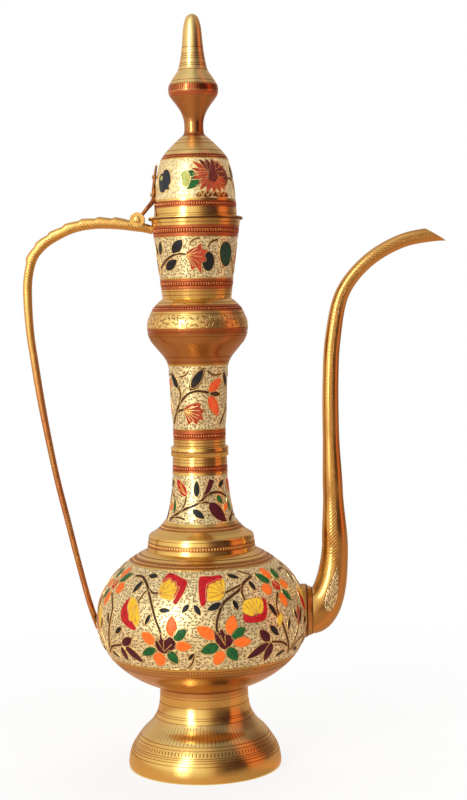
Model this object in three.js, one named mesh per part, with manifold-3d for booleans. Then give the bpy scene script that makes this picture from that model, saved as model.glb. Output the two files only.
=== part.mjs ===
// A tall brass ewer: bell foot, round belly, long neck with a bulb, and a cup under a hinged lid.
// Millimetres, +Z up. The spout points along +X and the handle along -X.
import * as THREE from 'three';
import { mergeVertices } from 'three/addons/utils/BufferGeometryUtils.js';
import Module from 'manifold-3d';

const wasm = await Module();
wasm.setup();

// Heights of the turned pieces, from the table upward: each is its share of the whole ewer's height
const EWER_HEIGHT = 508;
const FOOT_HEIGHT = 0.1014 * EWER_HEIGHT;
const BELLY_LOWER_HEIGHT = 0.0974 * EWER_HEIGHT;
const BELLY_UPPER_HEIGHT = 0.0935 * EWER_HEIGHT;
const COLLAR_HEIGHT = 0.0368 * EWER_HEIGHT;
const NECK_LOWER_HEIGHT = 0.0882 * EWER_HEIGHT;
const NECK_UPPER_HEIGHT = 0.123 * EWER_HEIGHT;
const BULB_LOWER_HEIGHT = 0.0404 * EWER_HEIGHT;
const BULB_UPPER_HEIGHT = 0.0461 * EWER_HEIGHT;
const CUP_HEIGHT = 0.1051 * EWER_HEIGHT;
const LID_HEIGHT = 0.1047 * EWER_HEIGHT;
const RIM_THICKNESS = 1.2;
const RING_HEIGHT = 6.5;

// Outer radii of the turned pieces
const FOOT_BASE_RADIUS = 52;
const FOOT_TOP_RADIUS = 30.1;
const BELLY_RADIUS = 72.5;
const COLLAR_BASE_RADIUS = 36.9;
const COLLAR_EDGE_RADIUS = 35.6;
const NECK_FOOT_RADIUS = 25.3;
const NECK_LOWER_RADIUS = 18.4;
const NECK_UPPER_RADIUS = 17.6;
const RING_RADIUS = 19.5;
const BULB_FOOT_RADIUS = 20.7;
const BULB_RADIUS = 34.2;
const CUP_FOOT_RADIUS = 23.2;
const CUP_MOUTH_RADIUS = 30.1;
const RIM_RADIUS = 31.8;
const RIM_BORE_RADIUS = 26.8;
const LID_RADIUS = 27.9;
const LID_TOP_RADIUS = 8.8;
const FINIAL_KNOB_RADIUS = 16.9;
const FINIAL_NECK_RADIUS = 6.75;

// Walls and other thicknesses
const FOOT_WALL = 2.2;
const FOOT_RIM_WIDTH = 5;
const BELLY_WALL = 1.8;
const COLLAR_WALL = 1.9;
const NECK_WALL = 1.7;
const BULB_WALL = 1.6;
const CUP_WALL = 1.6;
const LID_WALL = 1.4;
const LID_CROWN_THICKNESS = 2;
const SPIGOT_WALL = 1.5;
const SPIGOT_LENGTH = 4;
const THREAD_LENGTH = 8;
const JOINT_MARGIN = 1;
const BOSS_RADIUS = 19.6;
const BELLY_NECK_HEIGHT = 3.8;
const COLLAR_EDGE_HEIGHT = 10.4;

// Clearances between pieces
const BRAZE_GAP = 0.3;
const LID_SEAT_GAP = 0.3;
const RUNNING_CLEARANCE = 0.3;

// Spout: a wide root on the belly, a riser and an oblique mouth
const SPOUT_AXIS_ABOVE_BELLY_SEAM = 3.5;
const SPOUT_ROOT_RADIUS = 15.8;
const SPOUT_RISER_X = 91;
const SPOUT_RISER_RADIUS = 8.8;
const SPOUT_PIPE_RADIUS = 5.6;
const SPOUT_TIP_RADIUS = 4.7;
const SPOUT_TIP_X = 168;
const SPOUT_TIP_BELOW_RIM = 14.1;
const SPOUT_ELBOW_RISE = 45.5;
const SPOUT_WALL = 1.3;
const SPOUT_MOUTH_SLOPE = 31;
const FLANGE_RADIUS = 18.2;
const FLANGE_THICKNESS = 2.3;
const SPOUT_PORT_RADIUS = 11;

// Handle: its reach from the ewer's axis, and the thickness of its bar
const HANDLE_REACH = 114.2;
const HANDLE_TOP_BELOW_RIM = 3.4;
const HANDLE_END_BELOW_SEAM = 6;
const HANDLE_TOP_THICKNESS = 7.4;
const HANDLE_MIDDLE_THICKNESS = 6.3;
const HANDLE_LOWER_THICKNESS = 4.4;
const HANDLE_LOBES = 7;
const HANDLE_LOBE_RISE = 0.9;
const HANDLE_WIDTH = 9.4;

// Lid hinge on the handle
const HINGE_X = -39;
const HINGE_BELOW_RIM_TOP = 1.2;
const HINGE_BOSS_RADIUS = 4.9;
const KNUCKLE_RADIUS = 4.2;
const KNUCKLE_WIDTH = 3.2;
const PIN_RADIUS = 1.2;
const PIN_HEAD_RADIUS = 2.3;
const PIN_HEAD_HEIGHT = 1.1;
const STRAP_THICKNESS = 1.8;
const STRAP_WIDTH = 9;
const STRAP_RISE = 35;

// Small fasteners in the lid
const RIVET_RADIUS = 0.9;
const RIVET_HEAD_RADIUS = 1.7;
const STUD_RADIUS = 3;
const STUD_LENGTH = 9;
const WASHER_RADIUS = 6.6;
const WASHER_THICKNESS = 1.4;
const NUT_RADIUS = 5;
const NUT_HEIGHT = 3.2;
const SLEEVE_DEPTH = 5;
const SLEEVE_HEIGHT = 9.5;

const SEGMENTS = 32;
const CUT_MARGIN = 20;

// Heights of the joints between the pieces
const bellyBottom = FOOT_HEIGHT;
const bellySeam = bellyBottom + BELLY_LOWER_HEIGHT;
const collarBottom = bellySeam + BELLY_UPPER_HEIGHT;
const neckBottom = collarBottom + COLLAR_HEIGHT;
const neckSeam = neckBottom + NECK_LOWER_HEIGHT;
const bulbBottom = neckSeam + NECK_UPPER_HEIGHT;
const bulbSeam = bulbBottom + BULB_LOWER_HEIGHT;
const cupBottom = bulbSeam + BULB_UPPER_HEIGHT;
const cupTop = cupBottom + CUP_HEIGHT;
const rimTop = cupTop + RIM_THICKNESS;
const lidBottom = rimTop + LID_SEAT_GAP;
const lidTop = lidBottom + LID_HEIGHT;
const finialTop = EWER_HEIGHT;
const hingeZ = rimTop - HINGE_BELOW_RIM_TOP;
const spoutAxisZ = bellySeam + SPOUT_AXIS_ABOVE_BELLY_SEAM;

const brass = { color: 0xd9a441, roughness: 0.28, metalness: 1 };
const redBrass = { color: 0xb96a35, roughness: 0.34, metalness: 1 };
const enamelled = { color: 0xe6d39a, roughness: 0.42, metalness: 0.4 };

const mix = THREE.MathUtils.lerp;

// A point of an outline, given by its share of the way from one radius and height to another
function along(radiusFrom, radiusTo, heightFrom, heightTo, radiusShare, heightShare) {
  return [mix(radiusFrom, radiusTo, radiusShare), mix(heightFrom, heightTo, heightShare)];
}

// The points of a smooth outline through a few chosen points
function smooth(points, count) {
  const curve = new THREE.SplineCurve(points.map(([r, z]) => new THREE.Vector2(r, z)));
  return curve.getPoints(count).map((p) => [p.x, p.y]);
}

// An upward outline moved square to itself towards the axis, between two heights
function inset(outline, wall, low, high) {
  const moved = outline.map((point, i) => {
    const before = outline[Math.max(i - 1, 0)];
    const after = outline[Math.min(i + 1, outline.length - 1)];
    const run = new THREE.Vector2(after[0] - before[0], after[1] - before[1]).normalize();
    return [point[0] - run.y * wall, point[1] + run.x * wall];
  });
  return moved.filter(([, z]) => z > low && z < high);
}

// Outer radius of an upward outline at a height
function radiusAt(outline, z) {
  for (let i = 1; i < outline.length; i += 1) {
    const [r0, z0] = outline[i - 1];
    const [r1, z1] = outline[i];
    if (z >= z0 && z <= z1 && z1 > z0) return mix(r0, r1, (z - z0) / (z1 - z0));
  }
  return z < outline[0][1] ? outline[0][0] : outline[outline.length - 1][0];
}

function signedVolume(geometry) {
  const { array } = geometry.attributes.position;
  const index = geometry.index.array;
  const at = (i) => new THREE.Vector3().fromArray(array, 3 * i);
  let sum = 0;
  for (let i = 0; i < index.length; i += 3) {
    sum += at(index[i]).dot(at(index[i + 1]).cross(at(index[i + 2])));
  }
  return sum / 6;
}

// Merges shared vertices and turns the faces outwards
function closed(geometry) {
  const bare = new THREE.BufferGeometry();
  bare.setAttribute('position', geometry.attributes.position.clone());
  if (geometry.index) bare.setIndex(geometry.index.clone());
  const merged = mergeVertices(bare, 1e-5);
  const kept = [];
  for (let i = 0; i < merged.index.count; i += 3) {
    const [a, b, c] = [0, 1, 2].map((k) => merged.index.getX(i + k));
    if (a !== b && b !== c && c !== a) kept.push(a, b, c);
  }
  merged.setIndex(kept);
  if (signedVolume(merged) < 0) {
    for (let i = 0; i < kept.length; i += 3) {
      [kept[i + 1], kept[i + 2]] = [kept[i + 2], kept[i + 1]];
    }
    merged.setIndex(kept);
  }
  return merged;
}

// A turned solid about the Z axis from a profile of [radius, height] points
function turned(profile, segments = SEGMENTS) {
  const points = profile.map(([r, z]) => new THREE.Vector2(r, z));
  const onAxis = profile[0][0] === 0 && profile[profile.length - 1][0] === 0;
  if (!onAxis) points.push(points[0].clone());
  return closed(new THREE.LatheGeometry(points, segments).rotateX(Math.PI / 2));
}

// A turned solid about the line through z along X; the profile gives [radius, x]
function turnedAlongX(profile, z, segments) {
  return closed(turned(profile, segments).rotateY(Math.PI / 2).translate(0, 0, z));
}

// A turned solid about the hinge line along Y; the profile gives [radius, y]
function turnedOnHinge(profile, segments) {
  return closed(turned(profile, segments).rotateX(-Math.PI / 2).translate(HINGE_X, 0, hingeZ));
}

function solid(geometry) {
  const clean = closed(geometry);
  return new wasm.Manifold(new wasm.Mesh({
    numProp: 3,
    vertProperties: Float32Array.from(clean.attributes.position.array),
    triVerts: Uint32Array.from(clean.index.array),
  }));
}

function geometryOf(manifold) {
  const mesh = manifold.getMesh();
  const geometry = new THREE.BufferGeometry();
  const places = Float32Array.from(mesh.vertProperties);
  geometry.setAttribute('position', new THREE.BufferAttribute(places, 3));
  geometry.setIndex(Array.from(mesh.triVerts));
  return geometry;
}

// One solid less the others
function cut(geometry, ...tools) {
  return geometryOf(tools.reduce((left, tool) => left.subtract(solid(tool)), solid(geometry)));
}

function join(...geometries) {
  return geometryOf(geometries.slice(1).reduce((sum, g) => sum.add(solid(g)), solid(geometries[0])));
}

// A closed body through rings of points that all have the same count
function loft(rings, capOutline) {
  const count = rings[0].length;
  const places = rings.flat().flatMap((p) => [p.x, p.y, p.z]);
  const faces = [];
  for (let i = 1; i < rings.length; i += 1) {
    for (let k = 0; k < count; k += 1) {
      const next = (k + 1) % count;
      const [a, b] = [(i - 1) * count + k, (i - 1) * count + next];
      const [c, d] = [i * count + k, i * count + next];
      faces.push(a, b, c, b, d, c);
    }
  }
  const last = (rings.length - 1) * count;
  const turn = Math.sign(THREE.ShapeUtils.area(capOutline));
  for (const [a, p, q] of THREE.ShapeUtils.triangulateShape(capOutline, [])) {
    const same = Math.sign(THREE.ShapeUtils.area([a, p, q].map((k) => capOutline[k]))) === turn;
    const [b, c] = same ? [p, q] : [q, p];
    faces.push(a, c, b, last + a, last + b, last + c);
  }
  const geometry = new THREE.BufferGeometry();
  geometry.setAttribute('position', new THREE.Float32BufferAttribute(places, 3));
  geometry.setIndex(faces);
  return closed(geometry);
}

// A station of a bar or pipe in the XZ plane: outward is the section's own in-plane direction
function stationAt(curve, t) {
  const place = curve.getPointAt(t);
  const run = curve.getTangentAt(t);
  return { place, outward: new THREE.Vector3(run.z, 0, -run.x) };
}

function planeCurve(points) {
  const places = points.map(([x, z]) => new THREE.Vector3(x, 0, z));
  return new THREE.CatmullRomCurve3(places, false, 'centripetal');
}

// Value at t from a list of [t, value] steps, with soft changes between them
function stepped(steps, t) {
  for (let i = 1; i < steps.length; i += 1) {
    const [t0, v0] = steps[i - 1];
    const [t1, v1] = steps[i];
    if (t <= t1) return mix(v0, v1, THREE.MathUtils.smoothstep(t, t0, t1));
  }
  return steps[steps.length - 1][1];
}

// Outlines of the turned pieces, from the bottom of each upward

const footOutline = smooth([
  [1, 0], [1, 0.1], [0.9, 0.26], [0.59, 0.46], [0.31, 0.58], [0.11, 0.71], [0.02, 0.86], [0, 1],
].map(([r, z]) => along(FOOT_TOP_RADIUS, FOOT_BASE_RADIUS, 0, FOOT_HEIGHT, r, z)), 10);

// Quarter of an ellipse from the belly's seam to a smaller radius above or below it
function bellyQuarter(height, endRadius, side, radiusLess, heightLess) {
  const full = height / Math.sqrt(1 - (endRadius / BELLY_RADIUS) ** 2);
  const wide = BELLY_RADIUS - radiusLess;
  const end = Math.asin(Math.min((height - heightLess) / (full - radiusLess), 1));
  const steps = 7;
  return Array.from({ length: steps + 1 }, (_, i) => {
    const angle = end * (i / steps);
    return [wide * Math.cos(angle), bellySeam + side * (full - radiusLess) * Math.sin(angle)];
  });
}

const bellyDrop = BELLY_LOWER_HEIGHT - BELLY_NECK_HEIGHT;
const bellySeatRadius = COLLAR_BASE_RADIUS + BRAZE_GAP;
const bellyLowerOuter = bellyQuarter(bellyDrop, FOOT_TOP_RADIUS, -1, 0, 0).reverse();
const bellyUpperOuter = bellyQuarter(BELLY_UPPER_HEIGHT, bellySeatRadius, 1, 0, 0);
const bellyOutline = [[FOOT_TOP_RADIUS, bellyBottom], ...bellyLowerOuter, ...bellyUpperOuter.slice(1)];

const collarEdgeZ = collarBottom + COLLAR_EDGE_HEIGHT;
const collarOutline = [
  [COLLAR_BASE_RADIUS, collarBottom],
  [COLLAR_EDGE_RADIUS, collarEdgeZ],
  along(COLLAR_EDGE_RADIUS, NECK_FOOT_RADIUS, collarEdgeZ, neckBottom, 0.42, 0.28),
  along(COLLAR_EDGE_RADIUS, NECK_FOOT_RADIUS, collarEdgeZ, neckBottom, 0.75, 0.61),
  [NECK_FOOT_RADIUS, neckBottom],
];

const neckLowerOutline = smooth([
  [0, 0], [0.26, 0.06], [0.42, 0.14], [0.58, 0.25], [0.72, 0.37], [0.83, 0.49], [0.94, 0.73], [1, 1],
].map(([r, z]) => along(NECK_FOOT_RADIUS, NECK_LOWER_RADIUS, neckBottom, neckSeam, r, z)), 8);

const neckUpperOutline = smooth([
  [0, 0], [0.03, 0.13], [0.13, 0.29], [0.42, 0.54], [0.58, 0.72], [0.87, 0.94], [1, 1],
].map(([r, z]) => along(NECK_UPPER_RADIUS, BULB_FOOT_RADIUS, neckSeam, bulbBottom, r, z)), 7);

const BULB_SEAM_SHARE = 0.965;
const bulbSeamRadius = mix(BULB_FOOT_RADIUS, BULB_RADIUS, BULB_SEAM_SHARE);
const bulbLowerOutline = smooth([
  [0, 0], [0.07, 0.11], [0.23, 0.27], [0.63, 0.58], [0.83, 0.74], [0.96, 0.91], [1, 1],
].map(([r, z]) => along(BULB_FOOT_RADIUS, bulbSeamRadius, bulbBottom, bulbSeam, r, z)), 7);

const bulbUpperOutline = smooth([
  [0.955, 0], [1, 0.19], [0.96, 0.38], [0.85, 0.5], [0.72, 0.64], [0.53, 0.78], [0.2, 0.93], [0, 1],
].map(([r, z]) => along(CUP_FOOT_RADIUS, BULB_RADIUS, bulbSeam, cupBottom, r, z)), 8);

const cupOutline = [[CUP_FOOT_RADIUS, cupBottom], [CUP_MOUTH_RADIUS, cupTop]];

const lidOutline = smooth([
  [0, 0], [0.02, 0.15], [0.05, 0.3], [0.1, 0.46], [0.17, 0.6], [0.225, 0.68],
  [0.33, 0.75], [0.48, 0.82], [0.7, 0.9], [0.86, 0.955], [1, 1],
].map(([r, z]) => along(LID_RADIUS, LID_TOP_RADIUS, lidBottom, lidTop, r, z)), 10);

// Turned shells

function foot() {
  const boreRadius = BOSS_RADIUS + BRAZE_GAP;
  const plateUnderside = bellyBottom - FOOT_WALL;
  const rimTopInside = FOOT_WALL;
  const low = rimTopInside + FOOT_WALL;
  const inner = inset(footOutline, FOOT_WALL, low, plateUnderside - JOINT_MARGIN).reverse();
  return turned([
    ...footOutline,
    [boreRadius, bellyBottom],
    [boreRadius, plateUnderside],
    [FOOT_TOP_RADIUS - FOOT_WALL, plateUnderside],
    ...inner,
    [FOOT_BASE_RADIUS - FOOT_RIM_WIDTH, rimTopInside],
    [FOOT_BASE_RADIUS - FOOT_RIM_WIDTH, 0],
  ]);
}

function bodyLower() {
  const floor = bellyBottom + BELLY_WALL;
  const lipOuter = BELLY_RADIUS - BELLY_WALL - BRAZE_GAP - 0.1;
  const inner = bellyQuarter(bellyDrop, FOOT_TOP_RADIUS, -1, BELLY_WALL, 0)
    .filter(([, z]) => z > floor + JOINT_MARGIN && z < bellySeam - SPIGOT_LENGTH - JOINT_MARGIN);
  return turned([
    [0, bellyBottom],
    [BOSS_RADIUS - BELLY_WALL, bellyBottom],
    [BOSS_RADIUS - BELLY_WALL, bellyBottom - SPIGOT_LENGTH],
    [BOSS_RADIUS, bellyBottom - SPIGOT_LENGTH],
    [BOSS_RADIUS, bellyBottom],
    [FOOT_TOP_RADIUS, bellyBottom],
    ...bellyLowerOuter,
    [lipOuter, bellySeam],
    [lipOuter, bellySeam + SPIGOT_LENGTH],
    [lipOuter - SPIGOT_WALL, bellySeam + SPIGOT_LENGTH],
    [lipOuter - SPIGOT_WALL, bellySeam - SPIGOT_LENGTH],
    ...inner,
    [FOOT_TOP_RADIUS - BELLY_WALL, floor],
    [0, floor],
  ]);
}

function bodyUpper() {
  const ceiling = collarBottom - BELLY_WALL;
  const spigotOuter = COLLAR_BASE_RADIUS - COLLAR_WALL - BRAZE_GAP - 0.2;
  const inner = bellyQuarter(BELLY_UPPER_HEIGHT, bellySeatRadius, 1, BELLY_WALL, BELLY_WALL).reverse();
  return turned([
    ...bellyUpperOuter,
    [spigotOuter, collarBottom],
    [spigotOuter, collarBottom + SPIGOT_LENGTH],
    [spigotOuter - SPIGOT_WALL, collarBottom + SPIGOT_LENGTH],
    [spigotOuter - SPIGOT_WALL, ceiling],
    ...inner,
  ]);
}

const neckSpigotOuter = NECK_FOOT_RADIUS - COLLAR_WALL - BRAZE_GAP;

function shoulderCollar() {
  const bore = neckSpigotOuter + BRAZE_GAP;
  const innerBase = COLLAR_BASE_RADIUS - COLLAR_WALL;
  return turned([
    ...collarOutline,
    [bore, neckBottom],
    [bore, neckBottom - SPIGOT_LENGTH + JOINT_MARGIN],
    [COLLAR_EDGE_RADIUS - COLLAR_WALL, collarEdgeZ - COLLAR_WALL],
    [innerBase, collarBottom + SPIGOT_LENGTH + JOINT_MARGIN],
    [innerBase, collarBottom],
  ]);
}

function neckLower() {
  const threadOuter = NECK_UPPER_RADIUS - NECK_WALL - BRAZE_GAP;
  const low = neckBottom + JOINT_MARGIN;
  const inner = inset(neckLowerOutline, NECK_WALL, low, neckSeam - SPIGOT_LENGTH).reverse();
  return turned([
    [neckSpigotOuter, neckBottom - SPIGOT_LENGTH],
    [neckSpigotOuter, neckBottom],
    ...neckLowerOutline,
    [threadOuter, neckSeam],
    [threadOuter, neckSeam + THREAD_LENGTH],
    [threadOuter - SPIGOT_WALL, neckSeam + THREAD_LENGTH],
    [threadOuter - SPIGOT_WALL, neckSeam - JOINT_MARGIN],
    ...inner,
    [neckSpigotOuter - SPIGOT_WALL, neckBottom - SPIGOT_LENGTH],
  ]);
}

function neckRing() {
  const bore = radiusAt(neckUpperOutline, neckSeam + RING_HEIGHT) + BRAZE_GAP;
  const round = 0.7;
  return turned([
    [bore, neckSeam],
    [RING_RADIUS - round, neckSeam],
    [RING_RADIUS, neckSeam + round],
    [RING_RADIUS, neckSeam + RING_HEIGHT - round],
    [RING_RADIUS - round, neckSeam + RING_HEIGHT],
    [bore, neckSeam + RING_HEIGHT],
  ]);
}

function neckUpper() {
  const spigotOuter = BULB_FOOT_RADIUS - BULB_WALL - BRAZE_GAP;
  const low = neckSeam + JOINT_MARGIN;
  const inner = inset(neckUpperOutline, NECK_WALL, low, bulbBottom - SPIGOT_LENGTH).reverse();
  return turned([
    ...neckUpperOutline,
    [spigotOuter, bulbBottom],
    [spigotOuter, bulbBottom + SPIGOT_LENGTH],
    [spigotOuter - SPIGOT_WALL, bulbBottom + SPIGOT_LENGTH],
    [spigotOuter - SPIGOT_WALL, bulbBottom - JOINT_MARGIN],
    ...inner,
    [NECK_UPPER_RADIUS - NECK_WALL, neckSeam],
  ]);
}

function bulbLower() {
  const bore = BULB_FOOT_RADIUS - BULB_WALL;
  const lipOuter = bulbSeamRadius - BULB_WALL - BRAZE_GAP;
  const boreTop = bulbBottom + 2 * JOINT_MARGIN;
  const low = boreTop + JOINT_MARGIN / 2;
  const inner = inset(bulbLowerOutline, BULB_WALL, low, bulbSeam - SPIGOT_LENGTH).reverse();
  return turned([
    ...bulbLowerOutline,
    [lipOuter, bulbSeam],
    [lipOuter, bulbSeam + SPIGOT_LENGTH],
    [lipOuter - SPIGOT_WALL, bulbSeam + SPIGOT_LENGTH],
    [lipOuter - SPIGOT_WALL, bulbSeam - 2 * JOINT_MARGIN],
    ...inner,
    [bore, boreTop],
    [bore, bulbBottom],
  ]);
}

const cupSpigotOuter = CUP_FOOT_RADIUS - CUP_WALL - 2 * BRAZE_GAP;

function bulbUpper() {
  const bore = cupSpigotOuter + BRAZE_GAP;
  const start = bulbUpperOutline[0];
  const high = cupBottom - BULB_WALL - JOINT_MARGIN / 2;
  const inner = inset(bulbUpperOutline, BULB_WALL, bulbSeam + JOINT_MARGIN, high).reverse();
  return turned([
    ...bulbUpperOutline,
    [bore, cupBottom],
    [bore, cupBottom - BULB_WALL],
    ...inner,
    [start[0] - BULB_WALL, bulbSeam],
  ]);
}

function cup() {
  return turned([
    [cupSpigotOuter, cupBottom - SPIGOT_LENGTH],
    [cupSpigotOuter, cupBottom],
    ...cupOutline,
    [CUP_MOUTH_RADIUS - CUP_WALL, cupTop],
    [CUP_FOOT_RADIUS - CUP_WALL, cupBottom + JOINT_MARGIN],
    [cupSpigotOuter - SPIGOT_WALL, cupBottom - JOINT_MARGIN],
    [cupSpigotOuter - SPIGOT_WALL, cupBottom - SPIGOT_LENGTH],
  ]);
}

function cupRim() {
  const curl = 0.8;
  const hook = CUP_MOUTH_RADIUS + curl / 2;
  return turned([
    [RIM_BORE_RADIUS, cupTop],
    [hook, cupTop],
    [mix(hook, RIM_RADIUS, 0.4), cupTop - curl],
    [mix(hook, RIM_RADIUS, 0.8), cupTop - curl],
    [RIM_RADIUS, cupTop],
    [RIM_RADIUS, mix(cupTop, rimTop, 0.6)],
    [mix(hook, RIM_RADIUS, 0.7), rimTop],
    [RIM_BORE_RADIUS, rimTop],
  ]);
}

// Lid

const studBore = STUD_RADIUS + RUNNING_CLEARANCE;
const crownUnderside = lidTop - LID_CROWN_THICKNESS;

function lidShell() {
  const inner = inset(lidOutline, LID_WALL, lidBottom + JOINT_MARGIN, crownUnderside - BRAZE_GAP).reverse();
  return turned([
    ...lidOutline,
    [studBore, lidTop],
    [studBore, crownUnderside],
    [LID_TOP_RADIUS - LID_WALL, crownUnderside],
    ...inner,
    [LID_RADIUS - LID_WALL, lidBottom],
  ]);
}

function lidSleeve() {
  const outer = Math.min(LID_RADIUS - LID_WALL, RIM_BORE_RADIUS) - 2 * BRAZE_GAP;
  const bottom = rimTop - SLEEVE_DEPTH;
  return turned([
    [outer - 1, bottom],
    [outer, bottom],
    [outer, bottom + SLEEVE_HEIGHT],
    [outer - 1, bottom + SLEEVE_HEIGHT],
  ]);
}

function finial() {
  const knobShape = [
    [0, 0.033], [0.015, 0.1], [0.03, 0.13], [0.2, 0.196], [0.5, 0.261], [0.86, 0.325],
  ].map(([r, z]) => along(FINIAL_NECK_RADIUS, FINIAL_KNOB_RADIUS, lidTop, finialTop, r, z));
  const spireShape = [
    [0.995, 0.38], [0.96, 0.423], [0.77, 0.488], [0.61, 0.537], [0.54, 0.586], [0.48, 0.652],
    [0.435, 0.717], [0.4, 0.79], [0.37, 0.86], [0.33, 0.917], [0.24, 0.972],
  ].map(([r, z]) => along(0, FINIAL_KNOB_RADIUS, lidTop, finialTop, r, z));
  return turned([
    [0, lidTop - STUD_LENGTH],
    [STUD_RADIUS, lidTop - STUD_LENGTH],
    [STUD_RADIUS, lidTop],
    [LID_TOP_RADIUS, lidTop],
    ...knobShape,
    ...spireShape,
    [0, finialTop],
  ], 24);
}

function finialWasher() {
  return turned([
    [studBore, crownUnderside - WASHER_THICKNESS],
    [WASHER_RADIUS, crownUnderside - WASHER_THICKNESS],
    [WASHER_RADIUS, crownUnderside],
    [studBore, crownUnderside],
  ], 24);
}

function finialNut() {
  const top = crownUnderside - WASHER_THICKNESS;
  const sides = 6;
  const corners = new THREE.Path().absarc(0, 0, NUT_RADIUS, 0, 2 * Math.PI).getPoints(sides / 2);
  const shape = new THREE.Shape(corners);
  shape.holes.push(new THREE.Path().absarc(0, 0, studBore, 0, 2 * Math.PI, true));
  const options = { depth: NUT_HEIGHT, bevelEnabled: false, curveSegments: 12 };
  const geometry = new THREE.ExtrudeGeometry(shape, options);
  return closed(geometry.translate(0, 0, top - NUT_HEIGHT));
}

// Spout, in the plane of the handle, built as a near and a far half

const flangeFaceX = BELLY_RADIUS + FLANGE_THICKNESS;
const spoutTipZ = rimTop - SPOUT_TIP_BELOW_RIM;
const riserStartZ = spoutAxisZ + SPOUT_ELBOW_RISE;

// The tapered elbow: its section plane turns steadily from upright to level
function elbowStations() {
  const bend = new THREE.QuadraticBezierCurve3(
    new THREE.Vector3(flangeFaceX, 0, spoutAxisZ),
    new THREE.Vector3(SPOUT_RISER_X - 1.5, 0, spoutAxisZ + 1.5),
    new THREE.Vector3(SPOUT_RISER_X, 0, riserStartZ),
  );
  const steps = 7;
  return Array.from({ length: steps }, (_, i) => {
    const t = i / steps;
    const tilt = -Math.PI / 2 * (1 - t);
    const radius = mix(SPOUT_ROOT_RADIUS, SPOUT_RISER_RADIUS, THREE.MathUtils.smoothstep(t, 0, 1.06));
    return {
      place: bend.getPoint(t),
      outward: new THREE.Vector3(Math.cos(tilt), 0, Math.sin(tilt)),
      radius,
    };
  });
}

// The riser and the long bend to the mouth
function riserStations() {
  const rise = spoutTipZ - riserStartZ;
  const reach = SPOUT_TIP_X - SPOUT_RISER_X;
  const curve = planeCurve([
    [0, 0], [-0.013, 0.19], [-0.023, 0.354], [-0.02, 0.536], [0.005, 0.67], [0.098, 0.819],
    [0.316, 0.917], [0.617, 0.98], [0.896, 1], [1.06, 1.004],
  ].map(([x, z]) => [SPOUT_RISER_X + x * reach, riserStartZ + z * rise]));
  const widths = [
    [0, SPOUT_RISER_RADIUS], [0.14, mix(SPOUT_PIPE_RADIUS, SPOUT_RISER_RADIUS, 0.38)],
    [0.3, SPOUT_PIPE_RADIUS], [0.5, SPOUT_PIPE_RADIUS * 0.96], [0.75, SPOUT_TIP_RADIUS * 0.97],
    [0.93, SPOUT_TIP_RADIUS], [1, SPOUT_TIP_RADIUS * 1.08],
  ];
  const steps = 22;
  return Array.from({ length: steps + 1 }, (_, i) => {
    const t = i / steps;
    return { ...stationAt(curve, t), radius: stepped(widths, t) };
  });
}

const spoutStations = [...elbowStations(), ...riserStations()];

// Half of a pipe wall on one side of the middle plane
function halfPipe(stations, side) {
  const arc = 6;
  const section = (outer, inner) => {
    const points = [];
    for (let k = 0; k <= arc; k += 1) points.push([outer, Math.PI * (k / arc), k % arc === 0]);
    for (let k = arc; k >= 0; k -= 1) points.push([inner, Math.PI * (k / arc), k % arc === 0]);
    return points.map(([r, angle, onPlane]) => new THREE.Vector2(
      r * Math.cos(angle),
      onPlane ? 0 : side * r * Math.sin(angle),
    ));
  };
  const rings = stations.map(({ place, outward, radius }) => section(radius, radius - SPOUT_WALL)
    .map((p) => new THREE.Vector3(place.x + p.x * outward.x, p.y, place.z + p.x * outward.z)));
  return loft(rings, section(SPOUT_TIP_RADIUS, SPOUT_TIP_RADIUS - SPOUT_WALL));
}

// Everything beyond the oblique mouth
function beyondMouth() {
  const size = 4 * CUT_MARGIN;
  return new THREE.BoxGeometry(size, size, size)
    .translate(0, 0, size / 2)
    .rotateY(THREE.MathUtils.degToRad(SPOUT_MOUTH_SLOPE))
    .translate(SPOUT_TIP_X, 0, spoutTipZ - 0.9 * SPOUT_TIP_RADIUS);
}

function spoutHalf(side) {
  return cut(halfPipe(spoutStations, side), beyondMouth());
}

// Solid block up to an outline plus the brazing gap, for cutting what sits on it
function blockOf(outline, low, high) {
  const grown = outline.map(([r, z]) => [r + BRAZE_GAP, z]);
  return turned([[0, low], [grown[0][0], low], ...grown, [grown[grown.length - 1][0], high], [0, high]]);
}

function bellyBlock() {
  return blockOf(bellyOutline, bellyBottom - JOINT_MARGIN, collarBottom + JOINT_MARGIN);
}

function spoutFlange() {
  const edge = FLANGE_THICKNESS + 1.6;
  const ring = turnedAlongX([
    [SPOUT_PORT_RADIUS + BRAZE_GAP, flangeFaceX - CUT_MARGIN],
    [FLANGE_RADIUS, flangeFaceX - CUT_MARGIN],
    [FLANGE_RADIUS, flangeFaceX - edge],
    [SPOUT_ROOT_RADIUS, flangeFaceX],
    [SPOUT_PORT_RADIUS + BRAZE_GAP, flangeFaceX],
  ], spoutAxisZ, 24);
  return cut(ring, bellyBlock());
}

function spoutPort() {
  return turnedAlongX([
    [0, BELLY_RADIUS - CUT_MARGIN],
    [SPOUT_PORT_RADIUS, BELLY_RADIUS - CUT_MARGIN],
    [SPOUT_PORT_RADIUS, BELLY_RADIUS + CUT_MARGIN],
    [0, BELLY_RADIUS + CUT_MARGIN],
  ], spoutAxisZ, 20);
}

// Handle

const handleTopZ = rimTop - HANDLE_TOP_BELOW_RIM;
const handleEndZ = bellySeam - HANDLE_END_BELOW_SEAM;

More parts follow.
